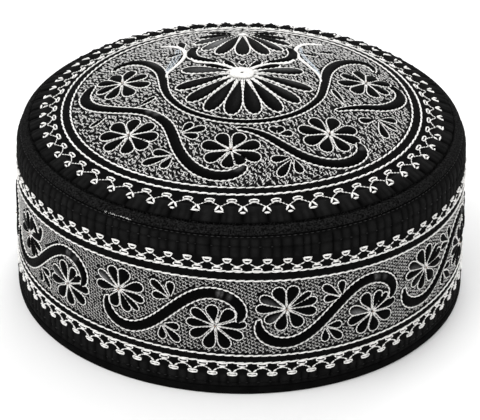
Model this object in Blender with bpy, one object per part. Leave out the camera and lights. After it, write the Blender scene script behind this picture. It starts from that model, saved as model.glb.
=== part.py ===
"""A round embroidered prayer cap, standing on its lower edge.

The cap is four sewn pieces: a domed crown, a felted welt over the shoulder seam, an upright side wall
and a hem binding. Raised satin-stitch motifs lie on the crown and on the side wall. Lengths are in
millimetres and angles in degrees until a point is written, and then everything is in metres.
The origin is the middle of the cap at the level of the hem. +Z is up and the front is at -Y.
"""

import math

import bmesh
import bpy
from mathutils import Vector

MM = 0.001

# Outer form. The side wall is nearly upright and flares a little towards the hem, the shoulder is an
# arc, and the crown drops by a power law.
WALL_RADIUS = 92.0
HEM_FLARE = 1.3
WALL_TOP = 64.8
SHOULDER_RADIUS = 8.7
APEX = 93.9
CROWN_DROP = 20.8
CROWN_DROP_RADIUS = 85.9
CROWN_POWER = 1.7

# Cloth and relief
CLOTH = 2.6
WALL_CLOTH = 2.8
FIELD_SINK = 0.7
STRIP_SINK = 0.3
RIB_HEIGHT = 0.55
PUFF_HEIGHT = 0.9
SEAM_GAP = 0.35

# Seams along the outer form: heights on the wall, turns on the shoulder, radii on the crown
HEM_TOP = 3.6
HEM_ROUND = 0.7
LOWER_RIBS = (4.8, 8.2)
FIELD = (15.6, 53.6)
UPPER_RIBS_FOOT = 62.8
RIB_RUNOUT = 1.2
RIB_START = 5.0
FIELD_STEP = 1.0
WELT_FROM = 38.5
WELT_TO = 66.5
WELT_PROUD = 0.5
WELT_ROUND = 10.0
CROWN_RIM = 86.3
RIM_FIELD = 69.2
RIM_BAND = 70.2
PUFF_FROM = 76.6
PUFF_TO = 85.2

# Repeats round the cap
SIDE_RIBS = 144
CROWN_PUFFS = 56
WALL_SEGMENTS = 72
RIB_SEGMENTS = 288
CROWN_SEGMENTS = 56
PUFF_SEGMENTS = 112

# Raised motifs
PAD_GAP = 0.5
PAD_HEIGHT = 0.9
FAN_CREST = 0.86
FAN_HEART = 0.6
FAN_CORNER = 4.4
SCROLL_WIDTH = 4.6
SCROLL_STEPS = 13
SIDE_PETALS = 9
SIDE_FLOWER_RADIUS = 9.2
CROWN_PETALS = 8
CROWN_FLOWER_RADIUS = 9.8
DISC_RADIUS = 5.0
DISC_HEIGHT = 0.8

# Side repeats that the front shows: turn from the front of the scroll, flower A and flower B
FRONT_REPEATS = (
    (-69.5, -66.0, -47.8),
    (-29.6, -31.0, -6.0),
    (11.3, 11.3, 34.3),
    (52.5, 53.0, 75.0),
)
# The other repeats follow at even steps, with flower B so far past flower A
BACK_REPEATS = 5
FLOWER_B_AFTER = 23.0
FLOWER_A_HEIGHT = 39.3
FLOWER_B_HEIGHT = 31.0
# The embroidered band sits a little askew, lower on the right
BAND_TILT = 1.2
SCROLL_MIDDLE = 11.0

# The side scroll, as millimetres along the wall and height above the hem
SIDE_SCROLL = (
    (-11.4, 34.2),
    (-10.8, 29.6),
    (-6.6, 25.6),
    (0.3, 24.2),
    (7.0, 25.6),
    (13.5, 29.8),
    (19.0, 35.3),
    (24.4, 41.2),
    (30.4, 44.8),
    (37.0, 45.8),
    (43.4, 43.8),
    (47.2, 39.5),
    (47.4, 34.9),
)

# Crown bands, as x and y on the plan seen from above, with the front at -y
CROWN_BANDS = {
    "crown_lyre_band": (
        (-52.4, 23.4, 2.8),
        (-48.6, 25.8, 3.6),
        (-44.0, 25.2, 4.4),
        (-37.4, 18.6, 4.4),
        (-33.6, 9.5, 3.8),
        (-32.0, -3.0, 3.2),
        (-28.8, -15.0, 2.6),
        (-21.5, -25.0, 2.3),
        (-11.0, -31.6, 2.2),
        (1.0, -33.8, 2.2),
        (13.0, -31.4, 2.2),
        (23.5, -24.5, 2.3),
        (31.0, -13.5, 2.6),
        (33.4, -2.0, 3.2),
        (35.4, 12.0, 3.8),
        (39.4, 23.0, 4.4),
        (45.6, 31.0, 4.4),
        (52.0, 32.4, 3.6),
        (55.2, 27.0, 2.8),
    ),
    "crown_bowl_left": (
        (-20.4, 30.4, 2.4),
        (-21.4, 25.8, 3.4),
        (-19.6, 19.0, 3.8),
        (-15.4, 15.2, 3.2),
        (-11.4, 12.8, 1.8),
    ),
    "crown_bowl_right": (
        (20.0, 31.2, 2.4),
        (21.0, 26.8, 3.4),
        (19.2, 19.8, 3.8),
        (15.0, 15.9, 3.2),
        (11.0, 13.2, 1.8),
    ),
    "crown_scroll_left": (
        (-61.4, 9.4, 3.6),
        (-63.8, 2.6, 4.2),
        (-61.6, -6.6, 4.2),
        (-54.0, -13.6, 4.2),
        (-43.6, -19.0, 3.8),
        (-33.6, -24.4, 4.0),
        (-28.2, -32.0, 4.2),
        (-26.0, -41.6, 4.4),
        (-23.4, -51.6, 4.6),
        (-18.0, -59.6, 4.8),
        (-9.0, -63.6, 4.8),
        (-1.6, -62.6, 4.2),
        (1.6, -60.0, 3.0),
    ),
    "crown_scroll_front": (
        (2.0, -38.2, 2.0),
        (10.2, -41.6, 3.2),
        (17.6, -47.0, 4.0),
        (24.8, -51.4, 4.4),
        (33.0, -53.0, 4.6),
        (41.6, -50.8, 4.6),
        (47.2, -44.8, 4.4),
        (47.0, -39.6, 3.2),
    ),
    "crown_scroll_right": (
        (41.6, -16.8, 2.2),
        (50.0, -12.2, 3.4),
        (58.6, -7.4, 4.2),
        (64.2, 0.4, 4.4),
        (65.2, 7.6, 4.2),
        (62.2, 11.6, 3.2),
    ),
}

# Crown flowers: name, x, y, turn of the first petal
CROWN_FLOWERS = (
    ("crown_flower_1", -48.6, 5.0, 20.0),
    ("crown_flower_2", 50.8, 10.4, 16.0),
    ("crown_flower_3", -44.6, -35.4, 30.0),
    ("crown_flower_4", -4.0, -49.8, 22.0),
    ("crown_flower_5", 35.0, -36.6, 38.0),
)

# Rosette and palmette: petals on the right, as turn from the front and length from the fan's root
ROSETTE_PETALS = (
    (8.2, 29.6),
    (28.5, 29.6),
    (48.8, 28.8),
    (72.0, 27.8),
    (107.0, 25.0),
    (124.7, 17.6),
    (150.5, 14.4),
)
ROSETTE_NOTCH = 0.72
PALMETTE_ROOT = (0.0, 57.0)
PALMETTE_PETALS = (
    (0.0, 36.4),
    (15.0, 36.2),
    (29.4, 32.2),
    (48.0, 25.6),
    (70.0, 19.6),
)
PALMETTE_NOTCH = 0.74
PALMETTE_HEEL = 104.0
PALMETTE_CUT = 6.0

# Materials: colour, roughness and metallic value
COLOURS = {
    "black_cotton": (0.012, 0.012, 0.014),
    "black_felt": (0.016, 0.016, 0.018),
    "black_satin_stitch": (0.01, 0.01, 0.012),
    "white_satin_stitch": (0.82, 0.81, 0.78),
}
ROUGHNESS = {
    "black_cotton": 0.85,
    "black_felt": 0.95,
    "black_satin_stitch": 0.5,
    "white_satin_stitch": 0.6,
}


def clear_scene():
    """Empties the scene, so that the cap stands alone in it."""
    for thing in list(bpy.data.objects):
        bpy.data.objects.remove(thing, do_unlink=True)


def make_material(name):
    """A Principled material in the colour of that cloth or thread."""
    material = bpy.data.materials.new(name)
    material.use_nodes = True
    shader = material.node_tree.nodes["Principled BSDF"]
    shader.inputs["Base Color"].default_value = (*COLOURS[name], 1.0)
    shader.inputs["Roughness"].default_value = ROUGHNESS[name]
    shader.inputs["Metallic"].default_value = 0.0
    return material


def make_mesh(name, mesh_builder, material):
    """A mesh with its faces turned out, from a bmesh whose points are in millimetres."""
    bmesh.ops.recalc_face_normals(mesh_builder, faces=mesh_builder.faces)
    bmesh.ops.scale(mesh_builder, vec=(MM, MM, MM), verts=mesh_builder.verts)
    mesh = bpy.data.meshes.new(name)
    mesh_builder.to_mesh(mesh)
    mesh_builder.free()
    mesh.materials.append(materials[material])
    mesh.shade_smooth()
    mesh.set_sharp_from_angle(angle=math.radians(40.0))
    return mesh


def place(name, mesh, turn=0.0, rise=0.0):
    """Adds an object for the mesh, turned about the cap's axis and raised, under the cap's empty."""
    piece = bpy.data.objects.new(name, mesh)
    piece.rotation_euler[2] = math.radians(turn)
    piece.location.z = rise * MM
    piece.parent = cap
    bpy.context.scene.collection.objects.link(piece)
    return piece


def crown_height(radius):
    """Height of the crown's outer form at a radius."""
    return APEX - CROWN_DROP * (radius / CROWN_DROP_RADIUS) ** CROWN_POWER


def on_crown(radius, lift=0.0):
    """Radius and height of a point lifted off the crown along its normal."""
    drop = CROWN_DROP * CROWN_POWER / CROWN_DROP_RADIUS
    slope = drop * (radius / CROWN_DROP_RADIUS) ** (CROWN_POWER - 1.0)
    steep = math.hypot(slope, 1.0)
    return radius + lift * slope / steep, crown_height(radius) + lift / steep


def on_shoulder(turn, lift=0.0):
    """Radius and height of a point lifted off the shoulder, at a turn up from the wall."""
    reach = SHOULDER_RADIUS + lift
    angle = math.radians(turn)
    radius = WALL_RADIUS - SHOULDER_RADIUS + reach * math.cos(angle)
    return radius, WALL_TOP + reach * math.sin(angle)


def on_wall(height, lift=0.0):
    """Radius and height of a point lifted off the side wall, which flares towards the hem."""
    flare = HEM_FLARE * (1.0 - (height / WALL_TOP) ** 2)
    return WALL_RADIUS + flare + lift, height


def crown_point(x, y, lift):
    """The point over plan position x, y of the crown."""
    radius, height = on_crown(math.hypot(x, y), lift)
    bearing = math.atan2(y, x)
    return Vector((radius * math.cos(bearing), radius * math.sin(bearing), height))


def wall_point(along, height, lift):
    """The point of the wall that lies so far along it from the front."""
    bearing = along / WALL_RADIUS
    radius, level = on_wall(height, lift)
    return Vector((radius * math.sin(bearing), -radius * math.cos(bearing), level))


def add_ring(builder, place_at, segments, ribs=0, height=0.0):
    """A ring of points at one radius and height, swollen between its ribs' grooves."""
    radius, level = place_at[:2]
    across, up = place_at[2:] if len(place_at) > 2 else (1.0, 0.0)
    points = []
    for index in range(segments):
        bearing = math.tau * index / segments
        swell = height * 0.5 * (1.0 - math.cos(bearing * ribs)) if ribs else 0.0
        reach = radius + swell * across
        at = (reach * math.cos(bearing), reach * math.sin(bearing), level + swell * up)
        points.append(builder.verts.new(at))
    return points


def bridge(builder, first, second):
    """Joins two rings. One may have a whole number of times the other's points."""
    few, many = sorted((first, second), key=len)
    share = len(many) // len(few)
    for index, corner in enumerate(few):
        after = few[(index + 1) % len(few)]
        start = index * share
        if share == 1:
            builder.faces.new((corner, after, many[(start + 1) % len(many)], many[start]))
            continue
        half = share // 2
        for step in range(share):
            apex = corner if step < half else after
            builder.faces.new((apex, many[start + step], many[(start + step + 1) % len(many)]))
        builder.faces.new((corner, many[start + half], after))


def revolve(rings, closed=True):
    """A body of rings, each with its place, its points round, its ribs and their height."""
    builder = bmesh.new()
    loops = [add_ring(builder, *ring) for ring in rings]
    for first, second in zip(loops, loops[1:]):
        bridge(builder, first, second)
    if closed:
        bridge(builder, loops[-1], loops[0])
    return builder, loops


def close_ring(builder, ring, point):
    """Closes a ring with a fan about a point inside it."""
    middle = builder.verts.new(point)
    for index, corner in enumerate(ring):
        builder.faces.new((middle, corner, ring[(index + 1) % len(ring)]))


def make_crown():
    """The domed crown: a sunk field, a plain band, and padded ribs round the rim."""
    half = CROWN_SEGMENTS // 2
    up = (0.35, 0.94)
    outer = [
        (on_crown(15.0, -FIELD_SINK), half),
        (on_crown(31.0, -FIELD_SINK), CROWN_SEGMENTS),
        (on_crown(47.0, -FIELD_SINK), CROWN_SEGMENTS),
        (on_crown(60.0, -FIELD_SINK), CROWN_SEGMENTS),
        (on_crown(RIM_FIELD, -FIELD_SINK), CROWN_SEGMENTS),
        (on_crown(RIM_BAND), CROWN_SEGMENTS),
        (on_crown(PUFF_FROM), PUFF_SEGMENTS),
        ((*on_crown(PUFF_FROM + 2.2), *up), PUFF_SEGMENTS, CROWN_PUFFS, PUFF_HEIGHT),
        ((*on_crown(PUFF_TO - 1.4), *up), PUFF_SEGMENTS, CROWN_PUFFS, PUFF_HEIGHT),
        (on_crown(CROWN_RIM), PUFF_SEGMENTS),
    ]
    inner = [
        (on_crown(CROWN_RIM, -CLOTH), CROWN_SEGMENTS),
        (on_crown(72.0, -CLOTH), CROWN_SEGMENTS),
        (on_crown(50.0, -CLOTH - FIELD_SINK), CROWN_SEGMENTS),
        (on_crown(25.0, -CLOTH - FIELD_SINK), half),
    ]
    builder, loops = revolve(outer + inner, closed=False)
    close_ring(builder, loops[0], (0.0, 0.0, APEX - FIELD_SINK))
    close_ring(builder, loops[-1], (0.0, 0.0, APEX - CLOTH - FIELD_SINK))
    return make_mesh("crown_panel", builder, "black_cotton")


def make_welt():
    """The felted band over the shoulder seam, rounded outside and hollowed inside."""
    start = WELT_FROM + math.degrees(SEAM_GAP / SHOULDER_RADIUS)
    rings = [
        (on_shoulder(start), WALL_SEGMENTS),
        (on_shoulder(start + WELT_ROUND, WELT_PROUD), WALL_SEGMENTS),
        (on_shoulder(WELT_TO - WELT_ROUND, WELT_PROUD), WALL_SEGMENTS),
        (on_shoulder(WELT_TO), WALL_SEGMENTS),
        (on_shoulder(WELT_TO, -CLOTH), WALL_SEGMENTS),
        (on_shoulder(start, -CLOTH), WALL_SEGMENTS),
    ]
    return make_mesh("edge_welt", revolve(rings)[0], "black_felt")


def make_side():
    """The side wall: ribbed strips above and below, and a sunk field between them."""
    out = (1.0, 0.0)
    ribbed = (RIB_SEGMENTS, SIDE_RIBS, RIB_HEIGHT)
    rings = [
        (on_shoulder(WELT_FROM, -RIB_HEIGHT), WALL_SEGMENTS),
        ((*on_shoulder(WELT_FROM - RIB_START, -RIB_HEIGHT), *out), *ribbed),
        ((*on_wall(UPPER_RIBS_FOOT, -RIB_HEIGHT), *out), *ribbed),
        (on_wall(UPPER_RIBS_FOOT - RIB_RUNOUT, -STRIP_SINK), WALL_SEGMENTS),
        (on_wall(FIELD[1] + FIELD_STEP, -STRIP_SINK), WALL_SEGMENTS),
        (on_wall(FIELD[1], -FIELD_SINK), WALL_SEGMENTS),
        (on_wall(FIELD[0], -FIELD_SINK), WALL_SEGMENTS),
        (on_wall(FIELD[0] - FIELD_STEP, -STRIP_SINK), WALL_SEGMENTS),
        (on_wall(LOWER_RIBS[1] + RIB_RUNOUT, -STRIP_SINK), WALL_SEGMENTS),
        ((*on_wall(LOWER_RIBS[1], -RIB_HEIGHT), *out), *ribbed),
        ((*on_wall(LOWER_RIBS[0], -RIB_HEIGHT), *out), *ribbed),
        (on_wall(HEM_TOP + SEAM_GAP, -RIB_HEIGHT), WALL_SEGMENTS),
        (on_wall(HEM_TOP + SEAM_GAP, -WALL_CLOTH), WALL_SEGMENTS),
        (on_wall(WALL_TOP, -WALL_CLOTH), WALL_SEGMENTS),
        (on_shoulder(WELT_FROM, -WALL_CLOTH), WALL_SEGMENTS),
    ]
    return make_mesh("side_panel", revolve(rings)[0], "black_cotton")


def make_hem():
    """The folded binding at the lower edge, with a flat underside to stand on."""
    rings = [
        (on_wall(0.0, -HEM_ROUND), WALL_SEGMENTS),
        (on_wall(HEM_ROUND), WALL_SEGMENTS),
        (on_wall(HEM_TOP - HEM_ROUND), WALL_SEGMENTS),
        (on_wall(HEM_TOP, -HEM_ROUND), WALL_SEGMENTS),
        (on_wall(HEM_TOP, -WALL_CLOTH), WALL_SEGMENTS),
        (on_wall(0.0, -WALL_CLOTH), WALL_SEGMENTS),
    ]
    return make_mesh("hem_binding", revolve(rings)[0], "black_cotton")


def smooth_route(route, steps):
    """Points at even steps of a Catmull-Rom curve through the route, and every value with them."""
    count = len(route[0])
    padded = [route[0], *route, route[-1]]
    points = []
    for step in range(steps):
        share = step / (steps - 1) * (len(route) - 1)
        index = min(int(share), len(route) - 2)
        t = share - index
        a, b, c, d = padded[index:index + 4]
        point = []
        for axis in range(count):
            bend = 2.0 * a[axis] - 5.0 * b[axis] + 4.0 * c[axis] - d[axis]
            twist = 3.0 * b[axis] - a[axis] - 3.0 * c[axis] + d[axis]
            run = c[axis] - a[axis]
            point.append(0.5 * (2.0 * b[axis] + t * run + t * t * bend + t ** 3 * twist))
        points.append(point)
    return points


def make_band(name, route, steps, surface):
    """A raised band along a route of x, y and width, laid on a surface and rounded at its ends."""
    builder = bmesh.new()
    points = smooth_route(route, steps)
    sections = []
    for index, (x, y, width) in enumerate(points):
        before = points[max(index - 1, 0)]
        after = points[min(index + 1, len(points) - 1)]
        run = Vector((after[0] - before[0], after[1] - before[1])).normalized()
        across = Vector((-run.y, run.x))
        at_end = index in (0, len(points) - 1)
        half = width * (0.22 if at_end else 0.5)
        crest = half * 0.6
        top = PAD_GAP + PAD_HEIGHT * (0.6 if at_end else 1.0)
        offsets = ((-half, PAD_GAP), (-crest, top), (crest, top), (half, PAD_GAP))
        section = []
        for side, lift in offsets:
            at = surface(x + across.x * side, y + across.y * side, lift - FIELD_SINK)
            section.append(builder.verts.new(at))
        sections.append(section)
    for first, second in zip(sections, sections[1:]):
        for corner in range(4):
            after = (corner + 1) % 4
            builder.faces.new((first[corner], first[after], second[after], second[corner]))
    builder.faces.new(sections[0])
    builder.faces.new(list(reversed(sections[-1])))
    return make_mesh(name, builder, "black_satin_stitch")


def make_fan(name, root, outline, surface, bent=False):
    """A raised fan or flower: an outline about its root, puffed up inside its edge.

    A bent fan is long enough to need rings of points half way, to follow the crown's curve.
    """
    crest = PAD_GAP + PAD_HEIGHT
    profile = [(1.0, PAD_GAP), (FAN_CREST, crest)]
    if bent:
        profile = [(0.5, PAD_GAP), *profile, (0.5, crest)]
    builder = bmesh.new()
    loops = []
    for share, lift in profile:
        ring = []
        for x, y in outline:
            at = surface(root[0] + x * share, root[1] + y * share, lift - FIELD_SINK)
            ring.append(builder.verts.new(at))
        loops.append(ring)
    for first, second in zip(loops, loops[1:]):
        bridge(builder, first, second)
    heart = PAD_GAP + PAD_HEIGHT * FAN_HEART
    close_ring(builder, loops[0], surface(*root, PAD_GAP - FIELD_SINK))
    close_ring(builder, loops[-1], surface(*root, heart - FIELD_SINK))
    return make_mesh(name, builder, "black_satin_stitch")


def flower_outline(radius, petals, turn=0.0):
    """A flower's edge: for each petal a notch and the two corners of its tip."""
    outline = []
    step = math.tau / petals
    for petal in range(petals):
        middle = math.radians(turn) + petal * step
        for share, reach in ((-0.5, 0.4), (-0.24, 1.0), (0.24, 1.0)):
            angle = middle + share * step
            outline.append((radius * reach * math.cos(angle), radius * reach * math.sin(angle)))
    return outline


def fan_points(turns_and_lengths):
    """Points about a fan's root, from turns off the front and lengths."""
    points = []
    for turn, length in turns_and_lengths:
        angle = math.radians(turn - 90.0)
        points.append((length * math.cos(angle), length * math.sin(angle)))
    return points


def rosette_outline():
    """The rosette's edge: petals whose length falls towards the back, the same on both sides."""
    left = [(360.0 - turn, length) for turn, length in reversed(ROSETTE_PETALS)]
    petals = [*ROSETTE_PETALS, *left]
    corners = []
    for index, (turn, length) in enumerate(petals):
        before, length_before = petals[index - 1]
        if index == 0:
            before -= 360.0
        corners.append(((before + turn) / 2.0, ROSETTE_NOTCH * min(length, length_before)))
        corners.append((turn - FAN_CORNER, length))
        corners.append((turn + FAN_CORNER, length))
    return fan_points(corners)


def palmette_outline():
    """The palmette's edge: petals fanned towards the front, closed by a short heel behind their root."""
    left = [(-turn, length) for turn, length in reversed(PALMETTE_PETALS[1:])]
    petals = [*left, *PALMETTE_PETALS]
    corners = [(-PALMETTE_HEEL, PALMETTE_CUT)]
    for index, (turn, length) in enumerate(petals):
        if index:
            before, length_before = petals[index - 1]
            corners.append(((before + turn) / 2.0, PALMETTE_NOTCH * min(length, length_before)))
        corners.append((turn - FAN_CORNER, length))
        corners.append((turn + FAN_CORNER, length))
    corners.append((PALMETTE_HEEL, PALMETTE_CUT))
    return fan_points(corners)


def side_repeats():
    """The turns of every side repeat: those at the front, then the others at even steps."""
    last = FRONT_REPEATS[-1][0]
    step = (FRONT_REPEATS[0][0] + 360.0 - last) / (BACK_REPEATS + 1)
    turns = [last + step * (index + 1) for index in range(BACK_REPEATS)]
    return [*FRONT_REPEATS, *((turn, turn, turn + FLOWER_B_AFTER) for turn in turns)]


def band_rise(turn):
    """How much higher the askew band sits at a turn from the front."""
    return -BAND_TILT * math.sin(math.radians(turn))


def make_motifs():
    """Lays every raised motif on the crown and on the side wall."""
    side_route = [(along, height, SCROLL_WIDTH) for along, height in SIDE_SCROLL]
    scroll = make_band("side_scroll", side_route, SCROLL_STEPS, wall_point)
    outline = flower_outline(SIDE_FLOWER_RADIUS, SIDE_PETALS, 90.0)
    flower_a = make_fan("side_flower_a", (0.0, FLOWER_A_HEIGHT), outline, wall_point)
    flower_b = make_fan("side_flower_b", (0.0, FLOWER_B_HEIGHT), outline, wall_point)
    for number, (scroll_turn, turn_a, turn_b) in enumerate(side_repeats(), start=1):
        scroll_rise = band_rise(scroll_turn + SCROLL_MIDDLE)
        place(f"side_scroll_{number}", scroll, scroll_turn, scroll_rise)
        place(f"side_flower_a_{number}", flower_a, turn_a, band_rise(turn_a))
        place(f"side_flower_b_{number}", flower_b, turn_b, band_rise(turn_b))
    for name, route in CROWN_BANDS.items():
        place(name, make_band(name, route, len(route) + 1, crown_point))
    for name, x, y, turn in CROWN_FLOWERS:
        edge = flower_outline(CROWN_FLOWER_RADIUS, CROWN_PETALS, turn)
        place(name, make_fan(name, (x, y), edge, crown_point))
    middle = (0.0, 0.0)
    place("crown_rosette", make_fan("crown_rosette", middle, rosette_outline(), crown_point, True))
    palmette = make_fan("crown_palmette", PALMETTE_ROOT, palmette_outline(), crown_point, True)
    place("crown_palmette", palmette)


def make_disc():
    """The white satin disc on the middle of the rosette."""
    base = PAD_HEIGHT + PAD_GAP + 0.35 - FIELD_SINK
    rings = [
        (on_crown(DISC_RADIUS * 0.8, base + DISC_HEIGHT), 16),
        (on_crown(DISC_RADIUS, base + DISC_HEIGHT * 0.5), 16),
        (on_crown(DISC_RADIUS, base), 16),
    ]
    builder, loops = revolve(rings, closed=False)
    close_ring(builder, loops[0], (0.0, 0.0, APEX + base + DISC_HEIGHT))
    close_ring(builder, loops[-1], (0.0, 0.0, APEX + base))
    return make_mesh("rosette_disc", builder, "white_satin_stitch")


clear_scene()
materials = {name: make_material(name) for name in COLOURS}
cap = bpy.data.objects.new("prayer_cap", None)
bpy.context.scene.collection.objects.link(cap)
place("crown_panel", make_crown())
place("edge_welt", make_welt())
place("side_panel", make_side())
place("hem_binding", make_hem())
make_motifs()
place("rosette_disc", make_disc())
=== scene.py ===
"""The looks of the embroidered prayer cap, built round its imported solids.

Every shape is drawn flat, in millimetres, and then laid on the cap: the crown is drawn on its plan
seen from above, with the front at -y, and the wall is drawn as a strip, with the distance along it
from the front and the distance up it from the hem. A third value, the lift, is the distance off the
cap's outer form. Points are turned into metres as they are laid.
"""

import math

import bpy
import numpy as np
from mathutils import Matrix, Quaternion, Vector


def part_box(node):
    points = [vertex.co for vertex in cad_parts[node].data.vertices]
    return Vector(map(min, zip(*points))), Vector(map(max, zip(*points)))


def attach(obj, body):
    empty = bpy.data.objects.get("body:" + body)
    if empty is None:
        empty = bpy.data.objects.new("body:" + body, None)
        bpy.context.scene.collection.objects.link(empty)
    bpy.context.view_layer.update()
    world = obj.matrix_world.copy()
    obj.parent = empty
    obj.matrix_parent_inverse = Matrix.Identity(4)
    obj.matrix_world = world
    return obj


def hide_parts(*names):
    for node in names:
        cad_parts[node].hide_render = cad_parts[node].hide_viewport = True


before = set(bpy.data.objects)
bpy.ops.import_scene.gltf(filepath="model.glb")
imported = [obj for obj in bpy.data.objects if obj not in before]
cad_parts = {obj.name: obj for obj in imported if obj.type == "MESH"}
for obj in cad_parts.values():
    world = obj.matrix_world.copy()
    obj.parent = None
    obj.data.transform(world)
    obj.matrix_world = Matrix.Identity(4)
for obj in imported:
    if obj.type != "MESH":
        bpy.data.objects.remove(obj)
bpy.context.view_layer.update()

MM = 0.001
BODY = "root"
rng = np.random.default_rng(7)

# Outer form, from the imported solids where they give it
HEM_FLARE = 1.3
HEM_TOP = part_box("hem_binding")[1].z / MM
WALL_TOP = 64.8
WALL_RADIUS = 92.0
WALL_ROUND = math.tau * WALL_RADIUS
SHOULDER_RADIUS = 8.7
APEX = 93.9
CROWN_DROP = 20.8
CROWN_DROP_RADIUS = 85.9
CROWN_POWER = 1.7
CROWN_CLOTH = 2.6
WALL_CLOTH = 2.8

# Seams and fields: turns on the shoulder are in degrees
WELT_FROM = 38.5
WELT_TO = 66.5
WELT_PROUD = 0.75
CROWN_RIM = 86.3
CROWN_FIELD = 69.3
CROWN_LINES = (69.5, 73.0)
FIELD = (18.0, 51.6)
SIDE_LINES = (14.6, 18.0, 51.6, 55.6)
FIELD_LIFT = -0.7
STRIP_LIFT = -0.3

# How the wall's embroidered band strays from level, and the crown's rings from round
BAND_TILT = 1.0
BAND_SQUEEZE = 0.105
BAND_MIDDLE = 33.0
BAND_ENDS = (3.4, 70.0)
RING_SWELL = (0.68, -0.37, -0.83)
RING_ENDS = (58.0, 86.0)

# Ribs and padded rim
SIDE_RIBS = 144
RIB_DEPTH = 0.55
CROWN_PUFFS = 65
CROWN_CROWDING = 0.16
PUFF_HEIGHT = 1.3
PUFF_BACK = 0.8
PUFF_RING = (78.0, 87.2)
PUFF_SOFT = 1.9
PUFF_PHASE = 3.36
UPPER_RIBS = (61.6, 69.4)
LOWER_RIBS = (4.0, 9.2)
UPPER_STITCH_LINE = 66.3
LOWER_STITCH_LINE = 5.4
GATHER_FROM = 79.0
GATHER_REACH = 5.0
GATHER_SHARE = 0.3

# The rings and segments of the cloth's meshes; the inside of the wall and of the crown has few rings
RING_STEP = 0.42
PUFF_SEGMENTS = 18
RIB_SEGMENTS = 8
WELT_SEGMENTS = 1440
HEM_SEGMENTS = 720
WALL_INSIDE = (20.0, 42.0, WALL_TOP)
CROWN_INSIDE = (CROWN_RIM, 66.0, 44.0, 22.0, 0.4)

# The hem's rings, round its closed section: height and lift
HEM_ROWS = (
    (0.0, -0.75), (0.12, -0.35), (0.5, -0.08), (1.1, 0.02), (2.0, 0.06), (2.8, 0.0), (3.3, -0.2),
    (HEM_TOP, -0.6), (HEM_TOP, -WALL_CLOTH), (0.0, -WALL_CLOTH),
)

# The worn spot on the welt, from and to along it, its number of fibres, and the fuzz over the seam
SCUFF = (-57.0, -44.0)
SCUFF_FIBRES = 34
FUZZ_FIBRES = 3600
FUZZ_THICK = 0.22

# Widest value of the petal's edge formula
PETAL_SWELL = 0.69

# Thread: stitch length, width and height. A heart has width, height and base, and the threads of the
# disc, the branches and the blocks have width and height. DISC_STEP is the turn between two threads
ROPE = (3.6, 0.8, 0.74)
CORD = (2.4, 0.76, 0.7)
FINE_CORD = (1.4, 0.52, 0.54)
PALE_STRAND = (2.6, 0.42, 0.5)
BLACK_STITCH = (1.6, 0.45, 0.5)
BLACK_GAP = 0.7
HEART_SIZE = (0.75, 0.6, 0.1)
HEART_REACH = 0.4
DISC_THREAD = (0.72, 1.3)
DISC_STEP = 7.5
BRANCH_THREAD = (0.6, 0.8)
BRANCH_STEP = 0.45
BRANCH_LEAN = 0.9
BAR = (0.94, 0.82)
LEG = (0.72, 0.7)
FINE_LEG = (0.48, 0.5)

# The net of small stitches: pitch along a row and between rows, slant and cross turn
NET_PITCH = (1.5, 1.36)
NET_SLANT = math.radians(36.0)
NET_CROSS = math.radians(97.0)
NET_ALONG = (1.6, 0.52, 0.5)
NET_ACROSS = (1.05, 0.5, 0.46)
CROWN_NET_STRETCH = 1.5

# The nets of the crown and the side: how far points stray, how much turns vary, and thickness
CROWN_NET = (0.3, 0.95, 1.2)
SIDE_NET = (0.1, 0.3, 1.0)
NET_MARGIN = 0.9

# Side repeats: turn of the scroll, how wide its lower hook and its upper end are, how far along its
# upper sprig sits, then the turn, height and petal table of its two flowers
FRONT_REPEATS = (
    (-69.2, 1.0, 0.86, -5.0, (-66.0, 38.9, "A2"), (-47.0, 30.6, "B3")),
    (-28.8, 0.82, 1.0, -1.2, (-30.4, 39.1, "A2"), (-5.7, 31.0, "B2")),
    (11.3, 1.04, 1.0, 2.1, (11.4, 38.7, "A3"), (34.1, 29.8, "B3")),
    (51.9, 1.15, 1.0, 0.6, (52.6, 38.3, "A3"), (74.6, 30.2, "B2")),
)
BACK_REPEATS = 5
BACK_FLOWERS = ((0.0, 38.7, "A3"), (23.0, 30.4, "B2"))

# Side petals: turn, length and half width, and for a few how much light they catch
SIDE_PETALS = {
    "A2": (
        (113, 9.8, 2.2), (73, 9.6, 2.6), (20, 11.1, 2.0), (-14, 11.2, 1.6), (-41, 11.4, 1.2),
        (-66, 10.1, 2.0), (-110, 9.0, 2.3), (-174, 10.6, 1.9), (152, 11.0, 1.6, 1.0)),
    "A3": (
        (114, 10.2, 2.4), (72, 10.2, 2.3), (34, 11.5, 1.2), (14, 12.3, 1.7), (-12, 12.1, 1.9),
        (-55, 10.0, 2.3), (-106, 9.7, 2.2), (-146, 9.8, 1.8, 0.25), (178, 11.8, 1.8), (152, 11.6, 1.8, 0.3)),
    "B2": (
        (101, 9.0, 2.2), (46, 9.7, 2.3), (5, 12.0, 1.6), (-25, 11.6, 1.9), (-64, 10.9, 2.2),
        (-107, 10.7, 2.2), (-150, 11.0, 2.0), (177, 11.2, 1.7), (146, 11.1, 1.9)),
    "B3": (
        (114, 9.9, 2.3), (66, 9.1, 1.9), (39, 9.6, 1.4), (7, 11.6, 1.8), (-31, 10.9, 2.2),
        (-80, 9.6, 2.3), (-125, 10.1, 2.3), (-168, 11.0, 1.9), (161, 10.8, 1.9, 0.8)),
}

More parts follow.
